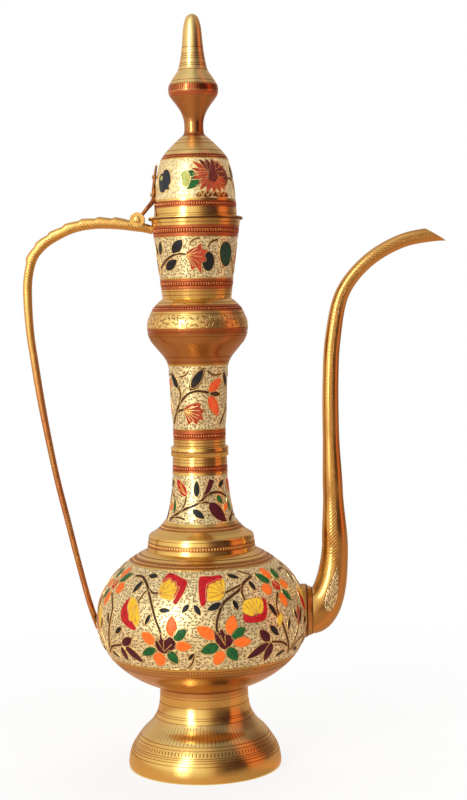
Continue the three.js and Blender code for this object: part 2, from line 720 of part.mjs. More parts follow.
function handleCurve() {
  const drop = handleTopZ - handleEndZ;
  const start = -radiusAt(cupOutline, handleTopZ) + 3;
  const end = -BELLY_RADIUS + HANDLE_LOWER_THICKNESS / 4;
  const outerArc = [
    [0.084, 0.0095], [0.2, 0.0036], [0.33, 0], [0.464, 0], [0.624, 0.0087], [0.795, 0.033],
    [0.879, 0.052], [0.95, 0.08], [0.993, 0.13], [1, 0.186],
  ].map(([x, z]) => [mix(-radiusAt(cupOutline, handleTopZ), -HANDLE_REACH, x), handleTopZ - z * drop]);
  const lowerRun = [
    [0.972, 0.268], [0.918, 0.334], [0.829, 0.432], [0.72, 0.532], [0.596, 0.632], [0.449, 0.731],
    [0.3, 0.832], [0.138, 0.933],
  ].map(([x, z]) => [mix(end, -HANDLE_REACH, x), handleTopZ - z * drop]);
  return planeCurve([[start, handleTopZ - 0.017 * drop], ...outerArc, ...lowerRun, [end, handleEndZ]]);
}

// The lobed bar: half its thickness in the plane, and half its width across it
function handleBar() {
  const curve = handleCurve();
  const lobesFrom = 0.05;
  const lobesTo = 0.27;
  const thickness = [
    [0, HANDLE_TOP_THICKNESS * 0.8], [0.04, HANDLE_TOP_THICKNESS], [0.2, HANDLE_TOP_THICKNESS * 0.95],
    [0.3, HANDLE_MIDDLE_THICKNESS], [0.45, HANDLE_MIDDLE_THICKNESS * 0.86],
    [0.7, HANDLE_LOWER_THICKNESS], [1, HANDLE_LOWER_THICKNESS * 0.9],
  ];
  const width = [
    [0, HANDLE_WIDTH * 0.7], [0.03, HANDLE_WIDTH], [0.22, HANDLE_WIDTH * 0.85],
    [0.45, HANDLE_WIDTH * 0.7], [0.9, HANDLE_WIDTH * 0.6], [0.965, HANDLE_WIDTH], [1, HANDLE_WIDTH * 0.5],
  ];
  const lobeShare = (t) => (t - lobesFrom) / (lobesTo - lobesFrom);
  const lobeRise = (t) => {
    const share = lobeShare(t);
    if (share <= 0 || share >= 1) return 0;
    return HANDLE_LOBE_RISE * Math.abs(Math.sin(Math.PI * HANDLE_LOBES * share));
  };
  const sides = 8;
  const section = (depth, across, rise) => Array.from({ length: sides }, (_, k) => {
    const angle = 2 * Math.PI * (k / sides);
    const x = depth * Math.cos(angle);
    return new THREE.Vector2(x + (x > 0 ? rise * (x / depth) : 0), across * Math.sin(angle));
  });
  const lobeSteps = 3 * HANDLE_LOBES;
  const places = [0, 0.02, 0.04];
  for (let i = 0; i <= lobeSteps; i += 1) places.push(mix(lobesFrom, lobesTo, i / lobeSteps));
  const lowerSteps = 16;
  for (let i = 1; i <= lowerSteps; i += 1) places.push(mix(lobesTo, 1, i / lowerSteps));
  const rings = places.map((t) => {
    const { place, outward } = stationAt(curve, t);
    return section(stepped(thickness, t) / 2, stepped(width, t) / 2, lobeRise(t))
      .map((p) => new THREE.Vector3(place.x + p.x * outward.x, p.y, place.z + p.x * outward.z));
  });
  return loft(rings, section(1, 1, 0));
}

const slotHalf = KNUCKLE_WIDTH / 2 + RUNNING_CLEARANCE;
const pinBore = PIN_RADIUS + RUNNING_CLEARANCE;
const bossHalf = HANDLE_WIDTH / 2;

function handle() {
  const disc = (radius, half, segments) => turnedOnHinge([
    [0, -half], [radius, -half], [radius, half], [0, half],
  ], segments);
  const pocket = disc(KNUCKLE_RADIUS + 2 * RUNNING_CLEARANCE, slotHalf, 24);
  const slotLength = 4 * KNUCKLE_RADIUS;
  const slot = new THREE.BoxGeometry(slotLength, 2 * slotHalf, CUT_MARGIN)
    .translate(HINGE_X, 0, hingeZ + CUT_MARGIN / 2);
  const bore = disc(pinBore, HANDLE_WIDTH, 16);
  const cupBlock = blockOf(cupOutline, cupBottom, cupTop);
  const forging = join(handleBar(), disc(HINGE_BOSS_RADIUS, bossHalf, 20));
  return cut(forging, pocket, slot, bore, cupBlock, bellyBlock());
}

function hingePin() {
  const shoulder = bossHalf + RUNNING_CLEARANCE / 2;
  const end = shoulder + PIN_HEAD_HEIGHT;
  const half = [
    [PIN_RADIUS, shoulder], [PIN_HEAD_RADIUS, shoulder], [PIN_HEAD_RADIUS * 0.8, mix(shoulder, end, 0.7)],
  ];
  return turnedOnHinge([
    [0, -end],
    ...half.map(([r, y]) => [r, -y]).reverse(),
    ...half,
    [0, end],
  ], 16);
}

// Strap: from the knuckle to the dome's side, then up the dome

const rivetHeights = [0.43, 0.77].map((share) => lidBottom + share * STRAP_RISE);

function strapCurve() {
  const off = BRAZE_GAP + STRAP_THICKNESS / 2 + 0.1;
  const onDome = [0.33, 0.5, 0.65, 0.8, 0.92, 1].map((share) => {
    const z = lidBottom + share * STRAP_RISE;
    return [-radiusAt(lidOutline, z) - off, z];
  });
  const leave = [mix(onDome[0][0], HINGE_X, 0.42), mix(onDome[0][1], hingeZ, 0.42)];
  return planeCurve([[HINGE_X + 1, hingeZ + 1.2], leave, ...onDome]);
}

function hingeStrap() {
  const curve = strapCurve();
  const width = [
    [0, KNUCKLE_WIDTH], [0.2, KNUCKLE_WIDTH], [0.38, STRAP_WIDTH], [0.52, STRAP_WIDTH * 0.9],
    [0.72, STRAP_WIDTH * 0.5], [0.86, STRAP_WIDTH * 0.62], [1, STRAP_WIDTH * 0.12],
  ];
  const half = STRAP_THICKNESS / 2;
  const section = (across) => [[-half, -across], [half, -across], [half, across], [-half, across]]
    .map(([x, y]) => new THREE.Vector2(x, y));
  const steps = 16;
  const rings = Array.from({ length: steps + 1 }, (_, i) => {
    const t = i / steps;
    const { place, outward } = stationAt(curve, t);
    return section(stepped(width, t) / 2)
      .map((p) => new THREE.Vector3(place.x + p.x * outward.x, p.y, place.z + p.x * outward.z));
  });
  const knuckle = turnedOnHinge([
    [0, -KNUCKLE_WIDTH / 2], [KNUCKLE_RADIUS, -KNUCKLE_WIDTH / 2],
    [KNUCKLE_RADIUS, KNUCKLE_WIDTH / 2], [0, KNUCKLE_WIDTH / 2],
  ], 20);
  const bore = turnedOnHinge([
    [0, -KNUCKLE_WIDTH], [pinBore, -KNUCKLE_WIDTH], [pinBore, KNUCKLE_WIDTH], [0, KNUCKLE_WIDTH],
  ], 16);
  return cut(join(loft(rings, section(1)), knuckle), bore, ...rivetHeights.map(rivetHole));
}

function rivetHole(z) {
  const radius = RIVET_RADIUS + RUNNING_CLEARANCE;
  const start = -LID_RADIUS - CUT_MARGIN;
  return turnedAlongX([[0, start], [radius, start], [radius, 0], [0, 0]], z, 12);
}

function lidDome() {
  return cut(lidShell(), ...rivetHeights.map(rivetHole));
}

function strapRivet(z) {
  const surface = radiusAt(lidOutline, z);
  const outerHead = surface + BRAZE_GAP + STRAP_THICKNESS + 0.8;
  const innerHead = surface - LID_WALL - 0.9;
  const crown = 0.8;
  return turnedAlongX([
    [0, -outerHead - crown],
    [RIVET_HEAD_RADIUS * 0.7, -outerHead - crown * 0.7],
    [RIVET_HEAD_RADIUS, -outerHead],
    [RIVET_RADIUS, -outerHead],
    [RIVET_RADIUS, -innerHead],
    [RIVET_HEAD_RADIUS, -innerHead],
    [RIVET_HEAD_RADIUS, -innerHead + crown],
    [0, -innerHead + crown],
  ], z, 12);
}

function part(name, geometry, finish) {
  const mesh = new THREE.Mesh(geometry, new THREE.MeshStandardMaterial(finish));
  mesh.name = name;
  return mesh;
}

function vessel() {
  const group = new THREE.Group();
  group.add(
    part('foot', foot(), brass),
    part('body_lower', cut(bodyLower(), spoutPort()), enamelled),
    part('body_upper', cut(bodyUpper(), spoutPort()), enamelled),
    part('shoulder_collar', shoulderCollar(), brass),
    part('neck_lower', neckLower(), enamelled),
    part('neck_ring', neckRing(), brass),
    part('neck_upper', neckUpper(), enamelled),
    part('bulb_lower', bulbLower(), brass),
    part('bulb_upper', bulbUpper(), redBrass),
    part('cup', cup(), enamelled),
    part('cup_rim', cupRim(), brass),
    part('spout_flange', spoutFlange(), brass),
    part('spout_near_half', spoutHalf(-1), brass),
    part('spout_far_half', spoutHalf(1), brass),
    part('handle', handle(), brass),
    part('hinge_pin', hingePin(), brass),
  );
  return group;
}

function lid() {
  const group = new THREE.Group();
  group.add(
    part('lid_dome', lidDome(), enamelled),
    part('lid_sleeve', lidSleeve(), brass),
    part('hinge_strap', hingeStrap(), redBrass),
    part('strap_rivet_lower', strapRivet(rivetHeights[0]), brass),
    part('strap_rivet_upper', strapRivet(rivetHeights[1]), brass),
    part('finial', finial(), brass),
    part('finial_washer', finialWasher(), brass),
    part('finial_nut', finialNut(), brass),
  );
  return group;
}

// The origin is on the table, under the middle of the whole ewer's box
const ewer = new THREE.Group();
ewer.add(vessel(), lid());
const box = new THREE.Box3().setFromObject(ewer, true);
ewer.position.x = -(box.min.x + box.max.x) / 2;
ewer.position.y = -(box.min.y + box.max.y) / 2;
ewer.updateMatrixWorld(true);

export default ewer;
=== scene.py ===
"""The look of a tall brass ewer: turned shells, chased ground, enamel inlays, bead rows and a studio."""

import math
from bisect import bisect
from itertools import accumulate

import bmesh
import bpy
from mathutils import Matrix, Vector


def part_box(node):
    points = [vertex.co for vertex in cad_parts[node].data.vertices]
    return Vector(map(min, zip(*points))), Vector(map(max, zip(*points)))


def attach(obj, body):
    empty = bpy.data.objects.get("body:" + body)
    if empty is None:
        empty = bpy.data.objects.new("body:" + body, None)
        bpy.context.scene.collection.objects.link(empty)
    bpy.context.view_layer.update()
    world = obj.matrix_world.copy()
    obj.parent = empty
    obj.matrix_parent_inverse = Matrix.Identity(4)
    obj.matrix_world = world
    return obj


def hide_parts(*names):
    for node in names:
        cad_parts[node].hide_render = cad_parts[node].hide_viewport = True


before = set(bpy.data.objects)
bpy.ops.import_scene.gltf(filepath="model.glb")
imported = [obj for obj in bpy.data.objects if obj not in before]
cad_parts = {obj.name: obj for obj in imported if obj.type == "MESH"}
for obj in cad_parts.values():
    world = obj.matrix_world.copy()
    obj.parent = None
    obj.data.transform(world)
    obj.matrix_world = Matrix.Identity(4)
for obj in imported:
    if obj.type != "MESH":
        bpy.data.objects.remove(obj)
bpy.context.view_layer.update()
foot_low, foot_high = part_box("foot")
AXIS_X = (foot_low.x + foot_high.x) / 2

# Sizes in millimetres from the ewer's axis and its floor
MM = 0.001
TINY = 1e-6
BELLY_RADIUS, BELLY_MIDDLE = 72.5, 101
HINGE_X, HINGE_Z = -39, 371.8
SPOUT_ROOT_Z = 104.5
LID_SEAT = 373.3
ZONE_DEPTH = 0.32
GROOVE, GROOVE_WIDTH = 0.16, 0.45
BRICK_DEPTH, EDGE = 0.12, 0.36

# Steps round and up a turned piece, and the angle in degrees from which an edge is sharp
SIDES = 160
OUTLINE_STEPS = 64
SHARP_EDGE = 38


# Lines, rings and objects

def pairs(text):
    """The points or colours in a text, each written with commas between its numbers."""
    return [tuple(map(float, word.split(","))) for word in text.split() if "," in word]


def read_rows(text):
    """Rows with semicolons between them: a name, then points or colours, then single numbers."""
    for row in text.split(";"):
        name, *words = row.split()
        yield name, pairs(row), [float(word) for word in words if "," not in word]


def clamp(value, low=0, high=1):
    return min(max(value, low), high)


def eased(share):
    return share * share * (3 - 2 * share)


def squarish(value, power):
    return math.copysign(abs(value) ** power, value)


def circle(count, start=0.0):
    """Sine and cosine at equal steps round a circle."""
    angles = [math.tau * (k + start) / count for k in range(count)]
    return [(math.sin(a), math.cos(a)) for a in angles]


def running(points):
    """How long a line is up to each of its points."""
    return list(accumulate(map(math.dist, points, points[1:]), initial=0.0))


def after(ring):
    return ring[1:] + ring[:1]


def belt(first, second):
    """Faces between two closed rings of point numbers."""
    return list(zip(first, after(first), after(second), second))


def fan(ring, tip):
    return [(a, b, tip) for a, b in zip(ring, after(ring))]


def hermite(b, c, v0, v1, share):
    """A cubic from b to c that leaves with the slope v0 and arrives with v1."""
    cubic, square = 2 * (b - c) + v0 + v1, 3 * (c - b) - 2 * v0 - v1
    return ((cubic * share + square) * share + v0) * share + b


def spline(points, count):
    """A smooth line through the points."""
    last = len(points) - 1
    rows = []
    for step in range(count + 1):
        place = last * step / count
        i = min(int(place), last - 1)
        four = [points[clamp(i + k, 0, last)] for k in (-1, 0, 1, 2)]
        rows.append(tuple(hermite(b, c, (c - a) / 2, (d - b) / 2, place - i) for a, b, c, d in zip(*four)))
    return rows


def add_object(name, data):
    thing = bpy.data.objects.new(name, data)
    bpy.context.scene.collection.objects.link(thing)
    return thing


# Colours and node materials

def linear(red, green, blue):
    values = [c / 255 for c in (red, green, blue)]
    return [c / 12.92 if c <= 0.04045 else ((c + 0.055) / 1.055) ** 2.4 for c in values] + [1.0]


def add_node(tree, kind, inputs=(), **settings):
    """A shader node; each input is linked to a socket or set to a value."""
    node = tree.nodes.new("ShaderNode" + kind)
    for key, value in settings.items():
        setattr(node, key, value)
    for key, value in dict(inputs).items():
        if isinstance(value, bpy.types.NodeSocket):
            tree.links.new(value, node.inputs[key])
        else:
            node.inputs[key].default_value = value
    return node


class Look:
    """A node material with short calls for the nodes it is built from."""

    def __init__(self, name, colour, metallic, roughness):
        self.material = bpy.data.materials.new(name)
        self.material.use_nodes = True
        self.tree = self.material.node_tree
        self.shader = self.tree.nodes["Principled BSDF"]
        self.colour = self.tone = linear(*colour)
        self.roughness = roughness
        self.normal = None
        for socket, value in (("Base Color", self.colour), ("Metallic", metallic), ("Roughness", roughness)):
            self.shader.inputs[socket].default_value = value

    def node(self, kind, inputs=(), **settings):
        return add_node(self.tree, kind, inputs, **settings)

    def math(self, operation, *values):
        return self.node("Math", enumerate(values), operation=operation).outputs[0]

    def times(self, first, second):
        return self.math("MULTIPLY", first, second)

    def apart(self, first, second):
        return self.math("ABSOLUTE", self.math("SUBTRACT", first, second))

    def ramp(self, value, low, high, start=0.0, end=1.0):
        inputs = {"Value": value, "From Min": low, "From Max": high, "To Min": start, "To Max": end}
        return self.node("MapRange", inputs, interpolation_type="SMOOTHSTEP").outputs["Result"]

    def split(self, vector):
        return self.node("SeparateXYZ", {0: vector}).outputs

    def scaled(self, vector, *scale):
        return self.node("Mapping", {"Vector": vector, "Scale": scale}).outputs["Vector"]

    def uv(self, across=1.0, up=1.0):
        return self.scaled(self.node("UVMap", uv_map="UVMap").outputs["UV"], across, up, 1.0)

    def place(self, across, up):
        return self.scaled(self.node("TexCoord").outputs["Object"], across, across, up)

    def noise(self, vector, detail=2.0, scale=1.0):
        return self.node("TexNoise", {"Vector": vector, "Scale": scale, "Detail": detail}).outputs["Fac"]

    def blend(self, factor, first, second, **settings):
        return self.node("Mix", {0: factor, 6: first, 7: second}, data_type="RGBA", **settings).outputs[2]

    def drive(self, socket, value):
        self.tree.links.new(value, self.shader.inputs[socket])

    def tint(self, mask, colour):
        """Lays a colour over the ones before it, where the mask is 1."""
        self.tone = self.blend(mask, self.tone, colour)
        self.drive("Base Color", self.tone)

    def own(self, factor):
        """The material's first colour, darker or lighter."""
        return [min(1.0, c * factor) for c in self.colour[:3]] + [1.0]

    def gloss(self, pattern, high, least, most):
        """Changes the roughness with a pattern, between two shares of its value."""
        self.drive("Roughness", self.ramp(pattern, 0.3, high, self.roughness * least, self.roughness * most))

    def bump(self, height, distance, strength):
        inputs = {"Height": height, "Distance": distance, "Strength": strength}
        if self.normal is not None:
            inputs["Normal"] = self.normal
        self.normal = self.node("Bump", inputs).outputs["Normal"]
        self.drive("Normal", self.normal)

    def surface(self, node):
        self.tree.links.new(node.outputs[0], self.tree.nodes["Material Output"].inputs["Surface"])

    def squiggles(self, pitch, width, length, wave):
        """A mask of short curled strokes, one in each cell."""
        cells = self.uv(1 / pitch, 1 / pitch)
        inputs = {"Vector": cells, "Scale": 1.0, "Randomness": 0.72}
        cell = self.node("TexVoronoi", inputs, voronoi_dimensions="2D").outputs
        local = self.node("VectorMath", {0: cells, 1: cell["Position"]}, operation="SUBTRACT")
        x, y, _ = self.split(local.outputs["Vector"])
        chance = self.node("SeparateColor", {0: cell["Color"]}).outputs
        angle = self.times(chance[0], math.tau)
        cosine, sine = self.math("COSINE", angle), self.math("SINE", angle)
        along = self.math("MULTIPLY_ADD", x, cosine, self.times(y, sine))
        across = self.math("SUBTRACT", self.times(y, cosine), self.times(x, sine))
        bend = self.math("SINE", self.math("MULTIPLY_ADD", along, 4.6, self.times(chance[1], math.tau)))
        off = self.math("ABSOLUTE", self.math("MULTIPLY_ADD", bend, wave, across))
        reach = self.ramp(self.math("ABSOLUTE", along), length * 0.8, length, 1.0, 0.0)
        return self.times(self.ramp(off, width * 0.45, width, 1.0, 0.0), reach)


def polished(look, strength=0.35):
    """Fine lines left by the lathe, and a slow change of gloss from handling."""
    look.bump(look.noise(look.uv(0.01, 0.9), 4.0), 0.00006, strength)
    look.gloss(look.noise(look.place(60, 60), 3.0), 0.75, 0.8, 1.45)


def lacquer(look, bare):
    """Lacquer over turned brass, worn through in short horizontal streaks."""
    polished(look, 0.5)
    look.tint(look.ramp(look.noise(look.uv(0.35, 2.2), 4.0), 0.55, 0.72), bare)


def cast(look, darker):
    """A fine grain, and darker stains."""
    look.bump(look.noise(look.place(700, 700), 4.0), 0.00012, 0.5)
    stain = look.noise(look.place(110, 60), 3.0)
    look.tint(look.ramp(stain, 0.42, 0.7), look.own(darker))
    look.gloss(stain, 0.7, 0.85, 1.4)


def chased(look, stroke, pitch, width, length, wave, depth):
    """Curled strokes cut into a slightly uneven ground."""
    marks = look.squiggles(pitch, width, length, wave)
    look.tone = look.own(0.8)
    look.tint(look.ramp(look.noise(look.uv(0.35, 0.35), 3.0), 0.35, 0.65), look.own(1.12))
    look.tint(look.times(marks, 0.9), stroke)
    look.bump(look.times(marks, -1.0), depth, 0.9)
    look.bump(look.noise(look.uv(3.0, 3.0)), 0.00008, 0.5)


def hatched(look, dark, count, share, depth):
    """Upright cuts, counted once round the axis."""
    turns = look.split(look.node("UVMap", uv_map="Turns").outputs["UV"])[0]
    wave = look.math("PINGPONG", look.times(turns, count), 0.5)
    cut = look.ramp(wave, share * 0.5, share, 1.0, 0.0)
    look.tint(cut, dark)
    look.bump(look.times(cut, -1.0), depth, 0.9)


def traced(look, dark, tail, fold, middle, half, pitch, strength, slope, least, leaf=False):
    """A bar or tube with slanting cuts along both sides, and on the spout a leaf of chased ground."""
    x, y, _ = look.split(look.uv())
    side = look.apart(x, fold)
    band = look.ramp(look.apart(side, middle), half * 0.6, half, 1.0, 0.0)
    slant = look.math("DIVIDE", look.math("MULTIPLY_ADD", side, slope, y), pitch)
    lines = look.ramp(look.math("PINGPONG", slant, 0.5), 0.12, 0.22, 1.0, 0.0)
    patches = look.ramp(look.noise(look.uv(0.12, 0.12)), 0.35, 0.5, least, 1.0)
    cuts = look.times(look.times(lines, band), patches)
    if leaf:
        cuts = look.times(cuts, look.ramp(y, 36, 46))
    smudge = look.noise(look.place(50, 30), 3.0)
    look.gloss(smudge, 0.75, 0.8, 1.3)
    look.tint(look.times(look.ramp(y, 110, 230), look.ramp(smudge, 0.3, 0.6, 0.45, 1.0)), tail)
    look.tint(look.times(cuts, strength), dark)
    if leaf:
        share = look.node("MapRange", {"Value": y, "From Min": 9.0, "From Max": 39.0}).outputs[0]
        bulge = look.math("SINE", look.times(look.math("POWER", share, 0.55), math.pi))
        wobble = look.math("MULTIPLY_ADD", look.noise(look.uv(0.5, 0.5)), 2.4, -1.2)
        reach = look.math("MULTIPLY_ADD", bulge, 6.6, wobble)
        inside = look.math("SUBTRACT", reach, look.apart(side, 27.3))
        filled = look.ramp(inside, 0.1, 0.6)
        edge = look.times(look.ramp(inside, -0.3, 0.2), look.ramp(inside, 0.6, 1.1, 0.5, 0.0))
        marks = look.times(look.squiggles(2.5, 0.32, 0.48, 0.22), filled)
        marks = look.math("MAXIMUM", marks, edge)
        look.tint(filled, linear(244, 214, 152))
        look.tint(look.times(marks, 0.85), linear(112, 74, 40))
        cuts = look.math("MAXIMUM", look.times(cuts, 0.5), marks)
        look.drive("Metallic", look.ramp(filled, 0.0, 1.0, 1.0, 0.6))
    look.bump(look.times(cuts, -1.0), 0.0002, 0.8)


def enamel(look, shade):
    cloud = look.noise(look.place(420, 420), 3.0)
    look.tint(look.ramp(cloud, 0.35, 0.75), shade)
    look.bump(cloud, 0.00015, 0.35)
    look.shader.inputs["Specular IOR Level"].default_value = 0.2


# Each row: a name, its colour and other colours, its roughness, and the numbers that its maker takes
# Shade is painted shade, for the rim's underside and the collar's bevels; amber and tawny are brass darkened
# on the zones that face down, as painted shade and reflection.
MATERIALS = {}
for make, metallic, table in (
    (polished, 1, """gold 232,196,114 0.19; pale 234,206,136 0.27; amber 208,158,100 0.2;
        tawny 184,130,78 0.22; line 166,108,60 0.35; shade 112,74,46 0.4; redline 172,88,52 0.35;
        gap 130,58,36 0.4; brick 234,186,110 0.3; redbrick 214,134,82 0.3; seam 140,92,56 0.4;
        wall 244,214,150 0.32"""),
    (lacquer, 0.9, "red 192,106,66 226,158,84 0.3"),
    (chased, 0.64, "ground 250,228,172 138,98,54 0.3 2.1 0.26 0.38 0.19 0.0003"),
    (chased, 0.5, "softground 248,226,170 218,184,130 0.34 2.6 0.22 0.4 0.18 0.0002"),
    (chased, 1, "engraved 240,206,130 150,104,58 0.28 3.2 0.17 0.5 0.1 0.0002"),
    (hatched, 1, """flutes 226,200,130 160,114,62 0.2 100 0.09 0.00002;
        redticks 190,108,66 116,58,36 0.2 60 0.2 0.00004;
        copperticks 200,120,72 126,62,38 0.2 126 0.2 0.00003;
        ticks 234,196,114 156,102,54 0.2 120 0.22 0.00002"""),
    (traced, 1, """spoutwork 216,168,94 108,62,32 222,172,98 0.21 49.4 22.2 5.5 2.4 0.95 -0.5 0.75 1;
        handlework 228,182,104 150,96,50 198,128,78 0.34 9.45 4.7 1.7 2 0.6 -0.8 0.35"""),
    (cast, 1, """plain 222,176,98 0.34 0.64; inside 180,134,72 0.42 0.64; cast 220,172,100 0.24 0.76;
        copper 164,106,62 0.3 0.76"""),
    (enamel, 0, """orange 250,116,38 238,96,26 0.3; ember 230,88,40 210,70,32 0.3;
        green 34,98,46 24,72,36 0.3; forest 34,62,42 26,44,34 0.3; crimson 200,26,34 160,14,24 0.3;
        yellow 242,196,52 228,168,30 0.3; maroon 84,24,32 56,14,22 0.3; black 34,36,34 22,22,26 0.3;
        slate 48,52,60 32,35,42 0.3; rust 184,68,38 142,46,30 0.3; umber 112,44,36 82,32,30 0.3;
        lime 196,196,104 164,170,76 0.3; stem 74,46,26 50,30,20 0.3"""),
):
    for name, (colour, *others), (roughness, *numbers) in read_rows(table):
        look = Look(name, colour, metallic, roughness)
        make(look, *[linear(*other) for other in others], *numbers)
        MATERIALS[name] = look.material


# Outlines of the turned pieces: radius and height, upward

def shaped(r0, r1, z0, z1, shares):
    """A smooth outline between two radii and two heights, through points given as shares of both."""
    return spline([(r0 + (r1 - r0) * r, z0 + (z1 - z0) * z) for r, z in pairs(shares)], OUTLINE_STEPS)


def quarter(height, end_radius, side):
    """The belly's curve from its widest ring, up or down to a smaller one."""
    full = height / math.sqrt(1 - (end_radius / BELLY_RADIUS) ** 2)
    angles = [math.asin(height / full) * i / OUTLINE_STEPS for i in range(OUTLINE_STEPS + 1)]
    return [(BELLY_RADIUS * math.cos(a), BELLY_MIDDLE + side * full * math.sin(a)) for a in angles]


FOOT = shaped(30.1, 52, 0, 51.5, "1,0 1,0.1 0.9,0.26 0.59,0.46 0.31,0.58 0.11,0.71 0.02,0.86 0,1")
BODY_LOWER = [(30.1, 51.5)] + quarter(45.7, 30.1, -1)[::-1]
BODY_UPPER = quarter(47.5, 37.2, 1)
BELLY = BODY_LOWER[:-1] + BODY_UPPER
COLLAR = pairs("36.9,148.5 36.1,154.8 35.6,158.2 35.2,158.9 31.3,161.2 27.9,164 25.3,167.2")
NECK_LOWER = shaped(25.3, 18.4, 167.2, 212,
                    "0,0 0.26,0.06 0.42,0.14 0.58,0.25 0.72,0.37 0.83,0.49 0.94,0.73 1,1")
NECK_UPPER = shaped(17.6, 20.7, 212, 274.5, "0,0 0.03,0.13 0.13,0.29 0.42,0.54 0.58,0.72 0.87,0.94 1,1")
BULB_LOWER = shaped(20.7, 33.73, 274.5, 295, "0,0 0.07,0.11 0.23,0.27 0.63,0.58 0.83,0.74 0.96,0.91 1,1")
BULB_UPPER = shaped(23.2, 34.2, 295, 318.4,
                    "0.955,0 1,0.19 0.96,0.38 0.85,0.5 0.72,0.64 0.53,0.78 0.2,0.93 0,1")
CUP = pairs("23.2,318.4 30.1,371.8")
RIM = pairs("30.2,371.2 31.0,370.9 31.65,371.3 31.8,372 31.6,372.7 30.9,373")
LID = shaped(27.9, 8.8, LID_SEAT, 426.5, """0,0 0.02,0.15 0.05,0.3 0.1,0.46 0.17,0.6 0.225,0.68 0.33,0.75
    0.48,0.82 0.7,0.9 0.86,0.955 1,1""")
KNOB = spline(pairs("""8.8,426.5 7.2,428.1 6.55,430.4 6.4,433.2 6.6,436.6 7.5,440.4 9.2,444.2 12,448.4
    15.5,453 16.5,455.3 16.85,457.5 16.65,459.6 16.2,461 13,466.3 10.3,470.3 9.1,474.3 8.1,479.6 7.35,484.9
    6.75,490.9 6.25,496.6 5.55,501.2 4.05,505.7 1.9,507.7 0,508"""), 150)


class Skin:
    """A turned surface, where a place is an azimuth from the front in degrees and a length up the outline."""

    def __init__(self, line):
        self.line = line
        self.run = running(line)
        self.heights = [z for _, z in line]

    def length(self, z):
        i = clamp(bisect(self.heights, z), 1, len(self.line) - 1)
        z0, z1 = self.heights[i - 1], self.heights[i]
        share = clamp((z - z0) / max(z1 - z0, 1e-9))
        return self.run[i - 1] + share * (self.run[i] - self.run[i - 1])

    def at(self, length):
        """Radius, height, and the outward direction at a length."""
        last = len(self.line) - 1
        i = clamp(bisect(self.run, length), 1, last)
        share = clamp((length - self.run[i - 1]) / max(self.run[i] - self.run[i - 1], 1e-9))
        (r0, z0), (r1, z1) = self.line[i - 1], self.line[i]
        (ra, za), (rb, zb) = self.line[max(i - 2, 0)], self.line[min(i + 1, last)]
        run = math.hypot(rb - ra, zb - za)
        return r0 + (r1 - r0) * share, z0 + (z1 - z0) * share, (zb - za) / run, (ra - rb) / run

    def lifted(self, length, lift):
        """Radius and height at a length, off the surface."""
        r, z, outward, upward = self.at(length)
        return r + outward * lift, z + upward * lift

    def point(self, azimuth, length, lift):
        r, z = self.lifted(length, lift)
        angle = math.radians(azimuth)
        return (r * math.sin(angle), -r * math.cos(angle), z)


# Building pieces

def piece(name, points, faces, slots, body, stands_for=(), slot=None, uvs=None, turns=None,
          sharp=SHARP_EDGE, place=None):
    """A mesh from points in millimetres; slots gives each face's material."""
    uvs = uvs or [[points[i][::2] for i in face] for face in faces]
    mesh = bpy.data.meshes.new(name)
    if place:
        points = [place(p) for p in points]
    mesh.from_pydata([(x * MM + AXIS_X, y * MM, z * MM) for x, y, z in points], [], faces)
    names = sorted(set(slots))
    for material in names:
        mesh.materials.append(MATERIALS[material])
    mesh.polygons.foreach_set("material_index", [names.index(s) for s in slots])
    mesh.polygons.foreach_set("use_smooth", [True] * len(faces))
    for layer, values in (("UVMap", uvs), ("Turns", turns)):
        if values:
            data = mesh.uv_layers.new(name=layer).data
            data.foreach_set("uv", [c for face in values for pair in face for c in pair])
    mesh.validate()
    mesh.set_sharp_from_angle(angle=math.radians(sharp))
    thing = add_object(name, mesh)
    if body:
        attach(thing, body)
    if stands_for:
        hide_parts(*stands_for)
    return thing


def bands(text):
    """Low end, high end, depth and material of each band in a text. A cut is a groove. Bricks lie between
    two dark lines, with a darker row under the raised bricks that bead_rows adds."""
    found = []
    for name, spans, numbers in read_rows(text):
        if name == "cut":
            found += [(z, z + GROOVE_WIDTH, GROOVE, "line") for z in numbers]
        elif name.endswith("bricks"):
            (low, high), (row, tall) = spans[0], numbers
            field, line, gap = ("red", "redline", "gap") if name == "redbricks" else ("gold", "line", "line")
            found += [(low, low + EDGE, GROOVE, line), (low + EDGE, high - EDGE, BRICK_DEPTH, field),
                      (row - tall / 2 - 0.3, row + tall / 2 + 0.3, BRICK_DEPTH, gap),
                      (high - EDGE, high, GROOVE, line)]
        else:
            found.append((*spans[0], *(numbers or [ZONE_DEPTH]), name))
    return found


def banded(line, text, step=1.0, base="gold"):
    """Points up an outline with each band sunk by its depth, and the material of each stretch."""
    skin = Skin(line)
    spans = [(skin.length(low), skin.length(high), sunk, name) for low, high, sunk, name in bands(text)]
    cuts = sorted({0.0, skin.run[-1]}.union(*(span[:2] for span in spans)))
    points, slots = [], []
    for start, end in zip(cuts, cuts[1:]):
        if end - start < TINY:
            continue
        depth, material = 0.0, base
        for low, high, sunk, name in spans:
            if low < (start + end) / 2 < high:
                depth, material = sunk, name
        count = max(1, math.ceil((end - start) / step))
        for k in range(count + 1):
            points.append(skin.lifted(start + (end - start) * k / count, -depth))
            slots.append(material)
    return points, slots[1:]


def inner_line(line, wall, low, high):
    skin = Skin(line)
    count = max(4, round(skin.run[-1] / 2.5))
    rows = [skin.lifted(skin.run[-1] * k / count, -wall) for k in range(count + 1)]
    return [p for p in rows[::-1] if low < p[1] < high]


